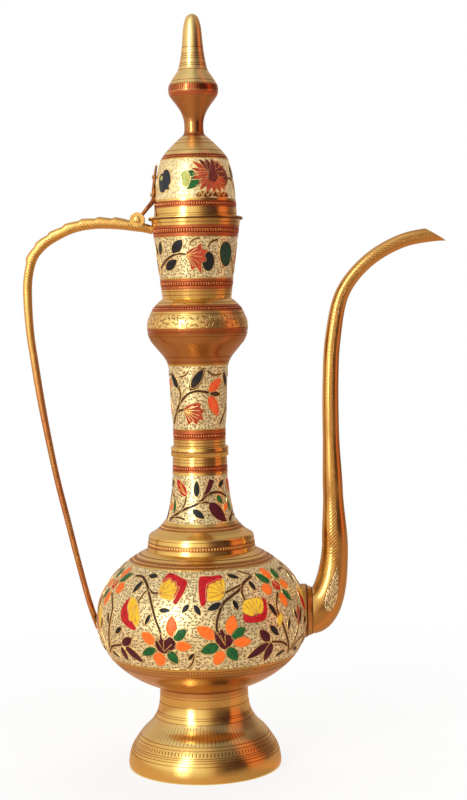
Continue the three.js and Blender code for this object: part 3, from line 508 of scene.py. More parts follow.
def revolved(name, points, slots, body, sides=SIDES, **options):
    """A closed shape of revolution; points on the axis become one point each."""
    mean = sum(r for r, _ in points) / len(points)
    run = running(points + points[:1])
    rows, places = [], []
    for r, z in points:
        if r < TINY:
            rows.append([len(places)] * sides)
            places.append((0, 0, z))
        else:
            rows.append(list(range(len(places), len(places) + sides)))
            places += [(-r * sine, r * cosine, z) for sine, cosine in circle(sides)]
    faces, materials, uvs, turns = [], [], [], []
    for i in range(len(points)):
        j = (i + 1) % len(points)
        if points[i][0] < TINY and points[j][0] < TINY:
            continue
        for k, face in enumerate(belt(rows[i], rows[j])):
            spots = ((k, i), (k + 1, i), (k + 1, i + 1), (k, i + 1))
            corners = list(dict(zip(face[::-1], spots[::-1])).items())[::-1]
            faces.append([corner for corner, _ in corners])
            materials.append(slots[i])
            uvs.append([(math.tau * mean * m / sides, run[n]) for _, (m, n) in corners])
            turns.append([(m / sides, run[n] / 10) for _, (m, n) in corners])
    return piece(name, places, faces, materials, body, uvs=uvs, turns=turns, **options)


def turned(node, points, slots, body="vessel", slot="polished_brass", **options):
    """The turned piece that stands for a CAD node."""
    revolved("turned_" + node, points, slots, body, stands_for=(node,), slot=slot, **options)


def shell(node, line, bands, wall, slot, bottom=(), top=(), step=1.0, body="vessel"):
    """A turned shell: its banded outside, then its top, inside and bottom."""
    outer, slots = banded(line, bands, step)
    ends = list(top) or [(line[-1][0] - wall, line[-1][1])]
    starts = list(bottom) or [(line[0][0] - wall, line[0][1])]
    inner = inner_line(line, wall, max(z for _, z in starts) + 0.3, min(z for _, z in ends) - 0.3)
    points = outer + ends + inner + starts
    turned(node, points, slots + ["inside"] * (len(points) - len(slots)), body, slot)


# Turned pieces with their grooves and bands

shell("foot", FOOT, """cut 11 13.2 14.7; ticks 17.1,19.3 0.06; cut 15.9 20.2 22.3; flutes 22.9,34.2 0.04;
    cut 34.3 37 38.4 44.6 50.2""", 2.2, "polished_brass",
      bottom=[(47, 2.2), (47, 0)], top=[(19.9, 51.5), (19.9, 49.3), (27.9, 49.3)])

below = pairs("0,51.5 17.8,51.5 17.8,47.5 19.6,47.5 19.6,51.5")
# The belly's underside, up to 74 mm, is in the amber material: brass darkened as painted shade and reflection
# where the surface faces down.
outside, slots = banded(BODY_LOWER, """amber 51.5,74 0; cut 54.6 72.6; goldbricks 74,79 76.3 2.2;
    ground 79.6,101""")
inside = [(70.7, 101)] + inner_line(BODY_LOWER, 1.8, 54, 100) + [(28.3, 53.3), (0, 53.3)]
turned("body_lower", below + outside + inside,
       ["inside"] * len(below) + slots + ["inside"] * (len(inside) + 1), slot="enamelled_brass")

shell("body_upper", BODY_UPPER, "ground 101,141.3; goldbricks 141.8,144.8 143.3 1.5; cut 146", 1.8,
      "enamelled_brass", top=[(33.7, 148.5), (33.7, 146.7)])
shell("shoulder_collar", COLLAR, "goldbricks 151,154.6 152.8 2.1; cut 157; goldbricks 163.2,166.2 164.7 1.5",
      1.9, "polished_brass")
shell("neck_lower", NECK_LOWER, "ground 168.2,200; redbricks 201.9,206.4 204.4 2.2; cut 208.3 210.2", 1.7,
      "enamelled_brass")

turned("neck_ring", pairs("""17.4,212 18.7,212 19.2,212.2 19.5,212.7 19.5,214.6 19.25,214.9 19.25,215.6
    19.5,215.9 19.5,217.8 19.2,218.3 18.7,218.5 17.4,218.5"""),
       ["inside"] + ["gold"] * 4 + ["line"] * 2 + ["gold"] * 4 + ["inside"])

shell("neck_upper", NECK_UPPER, "cut 219.4 221.6; redbricks 223.5,230.4 226.4 2.4; ground 231,273.4", 1.7,
      "enamelled_brass")
# The lower bulb faces down and is all in the tawny material, brass darkened as painted shade and reflection.
shell("bulb_lower", BULB_LOWER, "tawny 274.5,295 0; cut 276 279.2 293.2", 1.6, "polished_brass", step=0.7)
shell("bulb_upper", BULB_UPPER, """red 295,298.4 0.04; copperticks 295.5,297.1 0.1; cut 295 297.2;
    engraved 299.3,307.6 0.12; cut 298.4 308.2; redbricks 309.9,314.2 312.1 1.7; cut 315.5""", 1.6,
      "lacquered_brass", step=0.7)
shell("cup", CUP, """cut 320.4 323; redbricks 324.5,331.2 328.2 2.6; ground 332,359;
    redbricks 359.5,366.8 363.4 2.8; cut 368.6""", 1.6, "enamelled_brass")

# The rim's outer underside takes the dark shade material: painted shade under the lip.
turned("cup_rim", [(26.8, 371.8), (30.1, 371.8)] + RIM + [(26.8, 373)],
       ["gold"] + ["shade"] * 4 + ["gold"] * 4)

shell("lid_dome", LID, """cut 374.4; redbricks 378.7,383 381 2.1; softground 384.4,410.8; pale 414,426.5 0;
    redbricks 411.3,414 412.7 1.2; cut 416.4 421.5 424""", 1.4, "enamelled_brass",
      top=[(3.3, 426.5), (3.3, 424.5), (7.4, 424.5)], body="lid")

# The knob's concave lower part, 429.6 to 452.3 mm, is in the tawny material: brass darkened as painted shade
# and reflection under the knob.
outside, slots = banded(KNOB, """redticks 427.1,429.1 0.04; tawny 429.6,452.3 0;
    cut 426.6 429.2 436.2 452.4 455; red 452.9,456.2 0.04; redticks 456.4,460.6 0.08;
    cut 460.8 463 470.4 473.2 474.6 477.8 479.4 481 485.4""", 0.8, "pale")
turned("finial", [(0, 417.5), (3, 417.5), (3, 426.5)] + outside, ["inside"] * 3 + slots + ["inside"], "lid",
       sides=96)


# Bead rows: small raised bricks side by side round a band

def bead_rows(name, rows, body):
    points, faces, slots = [], [], []
    corners = circle(8, 0.5)
    for line, z, high, pitch, slot in rows:
        skin = Skin(line)
        length = skin.length(z)
        radius = skin.at(length)[0]
        count = round(math.tau * radius / pitch)
        for k in range(count):
            azimuth = 360 * k / count
            rings = []
            for share, lift in ((1.0, -0.2), (0.9, 0.0), (0.5, 0.06)):
                rings.append(list(range(len(points), len(points) + len(corners))))
                for up, side in corners:
                    along = pitch * 0.34 * share * squarish(side, 0.6)
                    rise = high / 2 * (1 - (1 - share) * pitch / high) * squarish(up, 0.6)
                    points.append(skin.point(azimuth + math.degrees(along / radius), length + rise, lift))
            bead = belt(*rings[:2]) + belt(*rings[1:]) + fan(rings[2], len(points))
            points.append(skin.point(azimuth, length, 0.07))
            faces += bead
            slots += [slot] * len(bead)
    piece(name, points, faces, slots, body, slot="polished_brass", sharp=60)


bead_rows("beading", [
    (BODY_LOWER, 76.3, 1.9, 1.9, "brick"), (BODY_UPPER, 143.3, 1.4, 1.8, "brick"),
    (COLLAR, 152.8, 2.0, 2.0, "brick"), (COLLAR, 164.7, 1.3, 1.7, "brick"),
    (NECK_LOWER, 204.4, 2.0, 1.7, "redbrick"), (NECK_UPPER, 226.4, 2.2, 1.7, "redbrick"),
    (BULB_UPPER, 312.1, 1.5, 1.7, "redbrick"), (CUP, 328.2, 2.4, 1.8, "redbrick"),
    (CUP, 363.4, 2.6, 1.8, "redbrick"),
], "vessel")
bead_rows("lid_beading", [(LID, 381.0, 2.0, 1.7, "redbrick"), (LID, 412.7, 1.1, 1.6, "redbrick")], "lid")


# Enamel inlays

COLOURS = dict(o="orange", e="ember", g="green", r="crimson", y="yellow", m="maroon", b="umber", k="black",
               c="copper", t="slate", f="forest", a="rust", l="lime", s="stem", w="wall")
BLOBS = {"blob": {}, "over": {"lift": 0.07}, "core": {"lift": 0.07, "wall": 0.0}}
BLOB_STEPS, LEAF_STEPS, STEM_STEPS = 3, 9, 7


class Inlay:
    """Shapes of enamel with pale metal walls, laid on a turned surface."""

    def __init__(self, line):
        self.skin = Skin(line)
        self.points, self.faces, self.slots = [], [], []
        self.layer = 0

    def add(self, faces, slot):
        self.faces += faces
        self.slots += [slot] * len(faces)

    def ring(self, centre, outline, lift):
        azimuth, length = centre
        start = len(self.points)
        for a, b in outline:
            radius = self.skin.at(length + b)[0]
            self.points.append(self.skin.point(azimuth + math.degrees(a / radius), length + b, lift))
        return list(range(start, len(self.points)))

    def patch(self, centre, outline, slot, wall=0.34, lift=0.0):
        """A filled cell with its wall; the outline is in millimetres from the centre, along the surface."""
        self.layer += 1
        lift += 0.012 * (self.layer % 5) - 0.06
        if sum(a[0] * b[1] - b[0] * a[1] for a, b in zip(outline, after(outline))) < 0:
            outline = outline[::-1]
        middle = [sum(c) / len(outline) for c in zip(*outline)]
        normals = []
        for (ax, ay), (bx, by) in zip(outline[-1:] + outline, after(outline)):
            size = math.hypot(bx - ax, by - ay) or 1.0
            normals.append(((by - ay) / size, (ax - bx) / size))
        fills = [self.ring(centre, [[m + (c - m) * share for m, c in zip(middle, p)] for p in outline],
                           lift - sunk) for share, sunk in ((1.0, 0.12), (0.8, 0.02), (0.42, 0.0))]
        self.add(belt(*fills[:2]) + belt(*fills[1:]) + fan(fills[2], len(self.points)), COLOURS[slot])
        azimuth, length = centre
        across = math.degrees(middle[0] / self.skin.at(length)[0])
        self.points.append(self.skin.point(azimuth + across, length + middle[1], lift))
        edges = ((wall + 0.12, -0.5), (wall, lift), (0, lift), (0, lift - 0.2))
        walls = [self.ring(centre, [(a + x * out, b + y * out) for (a, b), (x, y) in zip(outline, normals)],
                           rise) for out, rise in edges]
        for first, second in zip(walls, walls[1:]):
            self.add(belt(first, second), "wall")

    def leaf(self, slot, base, tip, width, blunt=0.72):
        """A petal or leaf from its base to its tip."""
        (az0, z0), (az1, z1) = base, tip
        low, high = self.skin.length(z0), self.skin.length(z1)
        centre = ((az0 + az1) / 2, (low + high) / 2)
        dx, dy = math.radians(az1 - az0) * self.skin.at(centre[1])[0], high - low
        size = math.hypot(dx, dy)
        ux, uy = dx / size, dy / size
        shares = [k / LEAF_STEPS for k in range(LEAF_STEPS + 1)]
        side = [((t - 0.5) * size, width / 2 * math.sin(math.pi * t ** 0.88) ** blunt) for t in shares]
        around = side + [(a, -b) for a, b in side[-2:0:-1]]
        self.patch(centre, [(ux * a + uy * b, uy * a - ux * b) for a, b in around], slot)

    def blob(self, slot, corners, **options):
        """A free shape through corners given as azimuth and height."""
        count = len(corners)
        azimuth = sum(a for a, _ in corners) / count
        length = sum(self.skin.length(z) for _, z in corners) / count
        flat = []
        for a, z in corners:
            up = self.skin.length(z) - length
            flat.append((math.radians(a - azimuth) * self.skin.at(length + up)[0], up))
        closed = spline([flat[-1]] + flat + flat[:2], (count + 2) * BLOB_STEPS)
        self.patch((azimuth, length), closed[BLOB_STEPS:BLOB_STEPS * (count + 1)], slot, **options)

    def stem(self, slot, corners, width, end=None, lift=0.0, wall=0.3):
        """A ribbon through corners given as azimuth and height, with a wall on both sides."""
        rows = spline([(a, self.skin.length(z)) for a, z in corners], STEM_STEPS * (len(corners) - 1))
        end = end or width
        spans = [(-0.5, -wall - 0.1, -0.5), (-0.5, -wall, 0.02), (-0.5, 0, 0.02), (-0.5, 0.05, -0.06),
                 (0, 0, 0)]
        spans += [(-share, -extra, rise) for share, extra, rise in spans[-2::-1]]
        slots = ["wall"] * 3 + [COLOURS[slot]] * 2 + ["wall"] * 3
        start = len(self.points)
        for k, (azimuth, length) in enumerate(rows):
            a, b = rows[max(k - 1, 0)], rows[min(k + 1, len(rows) - 1)]
            radius = self.skin.at(length)[0]
            dx, dy = math.radians(b[0] - a[0]) * radius, b[1] - a[1]
            size = math.hypot(dx, dy) or 1.0
            wide = width + (end - width) * k / (len(rows) - 1)
            for share, extra, rise in spans:
                off = (share * wide + extra) / size
                place = (azimuth - math.degrees(dy * off / radius), length + dx * off)
                self.points.append(self.skin.point(*place, lift + rise - 0.06))
        for k in range(len(rows) - 1):
            for m, name in enumerate(slots, start + k * len(spans)):
                self.add([(m, m + 1, m + 1 + len(spans), m + len(spans))], name)

    def draw(self, design, turn=0.0, mirror=None):
        """Lays a design's shapes, turned round the axis and mirrored about an azimuth if one is given."""
        for name, points, sizes in read_rows(design):
            kind, slot = name.split(":")
            points = [(turn + (a if mirror is None else 2 * mirror - a), z) for a, z in points]
            if kind in BLOBS:
                self.blob(slot, points, **BLOBS[kind])
            elif kind == "stem":
                self.stem(slot, points, *sizes)
            elif kind == "disc":
                azimuth, z = points[0]
                outline = [(sizes[0] * cosine, sizes[0] * sine) for sine, cosine in circle(18)]
                self.patch((azimuth, self.skin.length(z)), outline, slot)
            for tip in points[1:]:
                if kind == "leaf":
                    self.leaf(slot, points[0], tip, *sizes)
                elif kind == "rays":
                    self.stem(slot, [points[0], tip], 0.22, 0.4, 0.12, 0.06)


# Designs: rows of a kind and a colour's letter, points as azimuth,height, and sizes. A leaf runs from its
# first point to each other one, a stem has a width at either end, and rays are fine lines from the first
# point. A blob is a free shape, over lies on another one, and core has no wall.

BELLY_PANEL = """
stem:s -20.6,100 -21.3,105.9 -23.7,111.5 -28,121.4 -33,129.5 -37.4,133.6 -43.7,136.6 -51,136.5 1.55 1.95;
stem:s -33,130.5 -29.5,128.4 -26,128.6 1.4; stem:s -34.4,129.5 -36.4,125.5 -37.6,121 1.24;
stem:s -62,86 -56.5,90.4 -47.5,93.2 1.86 1.35; leaf:o -15,102.2 -15.3,115.7 7.7;
leaf:g -13.8,100.4 -7.3,107.4 6.4; leaf:o -13.4,96.4 -4.7,96.4 6.5; leaf:g -16.9,93.4 -13,84 6.6;
leaf:o -22,91.8 -23.8,81.6 8.4 0.7; leaf:g -24,94 -33,88.7 5.7; leaf:o -24.2,97.6 -32,103.6 7.2;
blob:m -24.4,99.6 -22.2,99.2 -21,104.2 -19.2,99.8 -15.4,102.6 -12.6,97.2 -14.6,94 -19,91 -22.8,93;
rays:w -19.4,92.4 -22.4,99 -19.4,99.6 -15,97.6;
blob:r -25.8,134 -24.7,138.4 -22.8,140 -18,139.2 -13.7,137.8 -8.4,135.4 -9.9,129.3 -12,125 -13.4,122.4
 -15.4,123.4 -15.6,127 -19,130;
over:y -24.4,127.2 -26,131.8 -24.2,136.2 -21,137 -18.6,135.2 -16.4,135.6 -15.4,133 -13.2,132.2 -14.4,128.6
 -15.3,125.3 -19.4,125.2; rays:a -25,128 -15.5,127 -14.5,131 -18,135 -22.5,136.2;
blob:r -45,123.9 -48.5,117.1 -47.2,110.3 -43.5,107.3 -41,105.8 -36.2,104.8 -36.4,108 -39,113 -42,119;
over:y -43.8,123.9 -41.3,124.3 -37,120.5 -35.2,116 -34,111.9 -35.7,107.2 -38.4,110.2 -40.8,110.8 -42.3,115
 -44.2,118.6; rays:a -38,121 -41.5,115 -39.2,112 -36.5,110; leaf:m -46.4,93.6 -38.4,99.2 5.7;
leaf:m -44.2,92.8 -33.8,83.2 6.2; leaf:m -47.4,92 -46,82 4.9; leaf:k -38.8,137.9 -30.7,137.5 4.1;
leaf:k -41,134.4 -44.3,126.8 4.2; leaf:k -23,118.5 -16.3,118.6 3.4; leaf:k -6.4,122.7 -9.9,117.3 3.5;
leaf:k -3.4,122.3 0.1,115.8 3.6; leaf:k -27.7,115.8 -30.2,108.6 2.9; leaf:k -46.2,104.9 -51.4,100.4 3.6;
leaf:k -59.7,86.5 -52.2,83.4 3; stem:s -7.4,80.8 -4.6,85.4 -3.4,91.6 1; leaf:k -3.6,91.8 -6.8,86.8 2.5;
leaf:k -60.6,112.5 -58.4,104.8 2.8;
stem:s 9.6,104 8.3,106.8 8.5,111.8 10,117 12.7,122.6 18.6,126.8 25.2,130.4 29,133.6 36.8,136.7 1.55 1.95;
stem:s 26.6,132.6 20.6,130.8 14.6,128.6 1.4; stem:s 26.8,132 25.1,127.4 25.9,123.8 1.4;
stem:s 37,137 32,139 28,140.2 1.24; stem:s 53,89.6 47,93.4 39.5,95.1 1.86 1.35;
leaf:o 8,101.4 -2.2,108.9 7.4; leaf:o 14.7,103.2 17.4,115.3 7.7; leaf:g 15.9,100.8 23.3,106.8 6.4;
leaf:o 16.6,97.8 26.8,97.6 6.7; leaf:g 13.9,95 19.6,85.2 7.1; leaf:o 10.9,93 7.9,82.8 7.4;
leaf:g 9.4,96.6 -0.2,92.4 7.6;
blob:m 6.6,106.8 8.8,104.4 10.8,107.2 12.4,103.8 15.2,102.6 16.6,99.4 15,95.8 12,93.8 8.8,97 7,101.5;
rays:w 12.4,96.4 8.7,104 10,103.6 12.4,103.2;
blob:r 0.2,122.2 -1,130 -0.7,137.4 2.5,138.4 8,138.3 14.6,138.5 14.2,135 8,133.5 4.4,130 3.6,125.5
 2.3,121.8;
over:y 3.9,124.8 3.4,129 4.4,133.6 7.6,135 11.9,136.4 15.7,136.1 14.9,130.3 13.6,127.3 11.2,124.8 7.5,124.3;
rays:a 14,128.2 4.6,126 4.6,129.5 5.6,133 9.4,134.8 13,135.8;
blob:r 23.2,115 23.4,110.6 28,109.6 34.3,109.8 37.6,114 39,121.9 36.8,123.2 30,120 26,117;
over:y 23.2,116.2 23.8,120.5 25.6,123.2 31.8,124.1 36.4,122.7 35.8,117.4 33.8,114.2 30.5,114.8 28,113.2
 25.8,114.6; rays:a 30.5,113 24.6,121.5 27.3,122.8 30,123.4 33,123 35.2,120.6; leaf:m 38,96 31.6,104 6.2;
leaf:m 37.6,94.8 25,85.8 6; leaf:m 39.4,94.6 37.3,82 6.5; leaf:k 19,138.6 27,136.3 3.6;
leaf:k 33,134.1 34.5,128.2 3.6; leaf:k 12,122.7 3.6,119 4.4; leaf:k 18.8,124.2 20.5,118.2 3.1;
leaf:k 40.2,120 44.1,110.6 3.6; leaf:k 38.3,106 44.2,98.5 4.1; leaf:y 47.4,112.6 44.6,104.6 4.4;
leaf:k 53.6,107.9 51.8,100.2 2.8; leaf:k 51.4,87.1 44.2,83.9 3"""
BORDER_FLOWER = """
leaf:g 48.8,131.4 40.6,137.4 6.7; leaf:o 51.5,133.2 49.4,140.2 6.7; leaf:g 57.6,132.2 61.2,138.6 6.4;
leaf:o 57.6,129.8 64.4,127.2 6.7; leaf:o 47.2,127.8 39.2,128.5 8.4; leaf:g 55.4,125.8 60.2,118.3 5.3;
leaf:o 52.4,124.6 53.2,115.2 7; disc:r 52.6,129.2 3.6;
rays:w 52.6,129.2 49.6,131 52,132.4 55.6,131.4 55.6,127.8 49.6,127.6"""
RIGHT_BORDER = """
stem:s 50.4,125 46.6,119.5 45.4,114 46.8,107.6 50,98.3 54.5,88.5 56.4,83 1.55 1.95;
stem:s 56.4,83 59,92 62,101 1.55; leaf:a 62,101 64.6,114.4 5.5; leaf:m 62.4,101.4 67.8,112 4.2"""
LEFT_BORDER = """
stem:s -64.4,124 -58.5,118 -56.6,111 -59.4,92 -63.8,83.6 1.71 2.1; stem:s -63.8,83.6 -67,91 -70.4,99 1.55;
leaf:y -70.6,99.4 -72.4,115 7.4; leaf:r -72.4,98.4 -79.4,109 4.4"""
NECK_UPPER_SPRIG = """
stem:s -68,234.4 -58.6,239.1 -44.2,247.1 -31.4,251.8 -15.8,255.7 0.4,256.8 22,255.6 2.02 1.5;
stem:s -58.3,239.9 -45.2,243.2 -30.2,244.6 1.4; stem:s -44.2,247.1 -38.1,254.1 -42,259.4 1.4;
stem:s -36.9,266.4 -26.3,267.2 -18.8,269.5 0.93; stem:s 18.6,270.1 33.2,267.2 52,268 0.93;
leaf:k -44,258.6 -64,269.2 4.7; leaf:s -16,256.8 12.6,272.6 7.4; leaf:k -13.2,258.6 10.6,271.4 5.8;
leaf:e 22,256.4 51,264.6 6.2; leaf:e 23,253.4 43.5,239.8 7; leaf:s 24,255.2 50,254 3.2;
blob:a -31,244.2 -20,247.6 -2,249 5.4,248 3.6,245.6 11.8,243.4 6.4,241.4 10,237.4 1,237.6 -4.6,234.4
 -13,236.6 -22,234.4 -26,238.6; rays:w -30,243.8 -10,246.8 0,247 4,243.8 2,240.4 -2,238.4 -9,236.8
 -18,236.8"""
NECK_LOWER_SPRIG = """
stem:s -64,169.4 -54.5,172.1 -31.7,177.3 -9.7,180.6 3.1,183.6 19.4,187.9 40.1,188.5 61,185.2 2.17 1.35;
stem:s -41.1,174.8 -30.3,181.1 -27.6,186.4 1.24; stem:s -54.1,171.8 -40,172.2 -27.5,171.2 1.24;
stem:s -5,181.2 8,182.4 18.6,181.8 1.24; stem:m 4,184 14.9,189.5 25.6,197.2 1.86 4.2;
leaf:r -27,186.3 -53.6,197.2 6; rays:y -29,187.4 -47,194.4 -43,195.4 -46,191;
leaf:g -52.6,174.3 -57.3,184.4 3.1; leaf:k -6.6,185.7 -6.4,196.9 4.2; leaf:m 18.2,182 47.5,168.8 8.2;
leaf:k -14,177.8 7.6,171.8 4.8; leaf:g 35,186.6 46,180.6 3.8; leaf:o 47,176.2 61,181 3.2;
leaf:k 40.6,191.6 55,196.6 3.5"""
CUP_PANEL = """
stem:s -67.2,333.2 -65.4,338 -50.3,343.2 -36.7,346.4 -24.4,347.9 -12,347.3 1.86 1.35;
stem:s -66,336 -68.5,341 -69.8,347.6 1.24; leaf:k -70,347.2 -74,356 4.4;
stem:s -7.4,354.7 -1.7,357 6.5,358 0.93; stem:s 17.8,351.9 22,355.2 32.6,357.2 0.93;
leaf:k -61.6,347.6 -56,356.8 4.9; leaf:k -33.8,348.4 -17.4,357.2 7; leaf:k -50.2,338 -27.6,343.8 6.2;
blob:k 10,342.6 12.6,347.2 18.8,349 25.4,347 28,342.4 25,338 18.8,336.4 12.4,338.2;
over:a -13,347.4 -6,350.8 2,352.2 8.2,354.4 9.2,350.8 17.6,349.8 13.4,347 15.4,343 8.6,342 8,335.2 1.6,338.8
 -5.6,337.2 -8,342; rays:w -12,347 3,351.6 8,349.2 10,345.6 5.6,341.6 2,338.6 -3.6,339.6;
blob:f 37,351.9 44,355.6 53,354.6 61,350 61,343.5 54,339.6 44.5,340 38,345;
stem:s 61,346 68,341 74,333.4 1.4; leaf:a 84,340 84,356 4.4; leaf:a 84,341 76,353 92,353 71,346 97,346 3.4;
stem:s 74,333.4 79,338 84,341 1.55; leaf:k 100,337 104,346 3.6; leaf:k 88,335.4 96,338.4 2.6"""
# In the lid's design, the small wall-less lime core on the slate bud at the left is a painted glint.
LID_PANEL = """
blob:t -64.9,397 -61.5,401.4 -55,401.4 -52,403.6 -43,403.2 -37.6,399.4 -36.4,395 -39.4,393 -38.4,390.2
 -44.6,390.6 -49,388.8 -57,389.2 -61.6,392.4; core:l -60.5,397.4 -58.5,399.8 -54.5,399.4 -55.5,397;
blob:g -20.3,400.4 -14,403 -8,402.2 -1.7,402.4 9,397.2 8.4,393.3 -2,390.6 -10.6,390.2 -17,392.6 -18,396.4;
over:l -19.8,400.2 -14,402.4 -8,400.6 -5.5,397 -8,393 -11,391 -16.4,393 -17.4,396.4;
blob:b 20,398.5 22,405.4 31,408.4 42,407 54,403 58,397.6 52,393 42,391 30,391 22,393.6;
leaf:a 28,399.6 -1.4,408.4 -3.4,403.8 -1.6,400.2 -8.6,396.8 2.4,392.6 8,389.6 3;
leaf:a 30,399 17.4,387.8 29,387 40,388 49.4,390 55.4,393.6 3.4;
leaf:b 31,399.6 9,409.6 19,410 30,410.2 42,408.8 52,405.6 57.4,400.4 3.6;
core:b 21.4,398.8 23.6,402.6 29,404 35.6,402.6 38,399 35,395.4 29,394.4 23.4,395.6;
blob:c 4,385.1 9,388.4 15.4,388.2 22.4,388 27,386.6 31,388.6 36,386.6 42,388 48.6,388 53,385.1;
rays:w 6,385.3 9,388.6; rays:w 12,385.3 9,388.6 15.4,388.8; rays:w 19,385.3 15.4,388.8 22.4,388.4;
rays:w 26,385.3 22.4,388.4 31,389.6; rays:w 36,385.3 31,389.6 42,388.4;
rays:w 45.4,385.3 42,388.4 48.6,388.2; stem:s 61,398 72,396 82,388 1.4; leaf:k 76,397 70,407.6 4.4;
leaf:g 82,388 98,398 6.4; leaf:k 88,399 100,406.6 4.4; leaf:m 92,386.6 106,389 3.4"""

THIRDS, HALVES = (0, 120, 240), (0, 180)
for name, line, body, designs in (
    ("belly_enamel", BELLY, "vessel", [
        (BELLY_PANEL, THIRDS), (BORDER_FLOWER, (0, 120)), (BORDER_FLOWER, (-120,), 52.4),
        (RIGHT_BORDER, (0, 120)), (LEFT_BORDER, (0,))]),
    ("neck_lower_enamel", NECK_LOWER, "vessel", [(NECK_LOWER_SPRIG, THIRDS)]),
    ("neck_upper_enamel", NECK_UPPER, "vessel", [(NECK_UPPER_SPRIG, THIRDS)]),
    ("cup_enamel", CUP, "vessel", [(CUP_PANEL, HALVES)]),
    ("lid_enamel", LID, "lid", [(LID_PANEL, HALVES)]),
):
    inlay = Inlay(line)
    for design, turns, *mirror in designs:
        for turn in turns:
            inlay.draw(design, turn, *mirror)
    piece(name, inlay.points, inlay.faces, inlay.slots, body, slot="enamelled_brass", sharp=50)


# Spout, handle and strap, all in the plane through the ewer's axis

def path(corners):
    """A smooth line through the corners in that plane, as x and z."""
    first, last = [tuple(2 * a - b for a, b in zip(p, q)) for p, q in (corners[:2], corners[:-3:-1])]
    ends = [first, *corners, last]
    rows = [corners[0]]
    for four in zip(ends, ends[1:], ends[2:], ends[3:]):
        before, own, later = [math.dist(p, q) ** 0.5 for p, q in zip(four, four[1:])]
        for k in range(1, 31):
            row = []
            for a, b, c, d in zip(*four):
                v0 = ((b - a) / before - (c - a) / (before + own)) * own + c - b
                v1 = ((d - c) / later - (d - b) / (own + later)) * own + c - b
                row.append(hermite(b, c, v0, v1, k / 30))
            rows.append(tuple(row))
    return Skin(rows)


def stepped(stops, t):
    for (t0, v0), (t1, v1) in zip(stops, stops[1:]):
        if t <= t1:
            return v0 + (v1 - v0) * eased(clamp((t - t0) / (t1 - t0)))
    return stops[-1][1]


def lofted(name, rings, slot_of, body, closed=False, **options):
    """Faces between rings of points; slot_of gives the material from ring and side."""
    sides = len(rings[0])
    points = [p for ring in rings for p in ring]
    girth = running(rings[0] + rings[0][:1])
    centres = [[sum(c) / sides for c in zip(*ring)] for ring in rings]
    along = running(centres + centres[:1])
    rows = [list(range(i * sides, (i + 1) * sides)) for i in range(len(rings))]
    faces, slots, uvs = [], [], []
    for i, (low, high) in enumerate(zip(rows, after(rows) if closed else rows[1:])):
        faces += belt(low, high)
        slots += [slot_of(i, k) for k in range(sides)]
        for k in range(sides):
            uvs.append([(girth[k + m], along[i + n]) for m, n in ((0, 0), (1, 0), (1, 1), (0, 1))])
    if not closed:
        for face in (rows[0][::-1], rows[-1]):
            faces.append(face)
            slots.append(slot_of(0, 0))
            uvs.append([points[i][::2] for i in face])
    return piece(name, points, faces, slots, body, uvs=uvs, **options)


def carve(thing, *tools):
    """Joins or cuts other solids into a piece, then drops them."""
    for operation, tool in tools:
        modifier = thing.modifiers.new(tool.name, "BOOLEAN")
        modifier.operation = operation
        modifier.object = tool
        modifier.solver = "EXACT"
    depsgraph = bpy.context.evaluated_depsgraph_get()
    mesh = bpy.data.meshes.new_from_object(thing.evaluated_get(depsgraph), depsgraph=depsgraph)
    thing.modifiers.clear()
    thing.data = mesh
    mesh.set_sharp_from_angle(angle=math.radians(SHARP_EDGE))
    for _, tool in tools:
        bpy.data.objects.remove(tool)


def on_hinge(point):
    x, y, z = point
    return (x + HINGE_X, z, HINGE_Z - y)


def along_x(height):
    return lambda point: (point[2], point[0], point[1] + height)


def disc(name, radius, half, material="cast"):
    return revolved(name, [(0, -half), (radius, -half), (radius, half), (0, half)], [material] * 4, None,
                    sides=72, place=on_hinge)


def block(name, line, sink):
    """A solid that fills a turned outline, a little smaller and longer."""
    grown = [(r - sink, z) for r, z in line]
    low, high = line[0][1] - 1, line[-1][1] + 1
    points = [(0, low), (grown[0][0], low), *grown, (grown[-1][0], high), (0, high)]
    return revolved(name, points, ["inside"] * len(points), None)


# Spout: the elbow, the riser and the oblique mouth
RISER = path([(91 + 77 * x, 150 + 208.9 * z) for x, z in pairs("""0,0 -0.013,0.19 -0.023,0.354 -0.02,0.536
    0.005,0.67 0.098,0.819 0.316,0.917 0.617,0.98 0.896,1 1.06,1.004""")])
RISER_RADII = pairs("0,8.8 0.14,6.82 0.3,5.6 0.5,5.38 0.75,4.56 0.93,4.7 1,5.08")
MOUTH_X, MOUTH_Z, MOUTH_TILT = 168, 354.67, math.radians(31)
MOUTH_FROM = 0.8
SPOUT_WALL = 1.3
ELBOW_RINGS, RISER_RINGS, MOUTH_RINGS = 36, 110, 24
SEAM = 0.22
half_ring = [(0, SEAM), (3, SEAM), (5.5, 0), *[(a, 0) for a in range(15, 171, 10)], (174.5, 0), (177, SEAM)]
columns = half_ring + [(a + 180, sunk) for a, sunk in half_ring]
seams = {0, len(half_ring) - 1, len(half_ring), len(columns) - 1}


def elbow_station(t):
    x = (1 - t) ** 2 * 74.8 + 2 * t * (1 - t) * 89.5 + t * t * 91
    z = (1 - t) ** 2 * SPOUT_ROOT_Z + 2 * t * (1 - t) * 106 + t * t * 150
    tilt = -math.pi / 2 * (1 - t)
    return x, z, math.cos(tilt), math.sin(tilt), 15.8 - 7 * eased(min(t / 1.06, 1))


def riser_station(t):
    return *RISER.at(RISER.run[-1] * t), stepped(RISER_RADII, t)


def spout_point(station, inset, column):
    (x, z, outward, upward, radius), (angle, sunk) = station, column
    r = radius - (inset or sunk)
    reach = r * math.cos(math.radians(angle))
    return x + reach * outward, r * math.sin(math.radians(angle)), z + reach * upward


def mouth_end(column, inset):
    """How far along the riser a column of the spout reaches before the oblique mouth cuts it."""
    low, high = MOUTH_FROM, 1.0
    for _ in range(24):
        t = (low + high) / 2
        x, _, z = spout_point(riser_station(t), inset, column)
        beyond = (x - MOUTH_X) * math.sin(MOUTH_TILT) + (z - MOUTH_Z) * math.cos(MOUTH_TILT)
        low, high = (low, t) if beyond > 0 else (t, high)
    return low


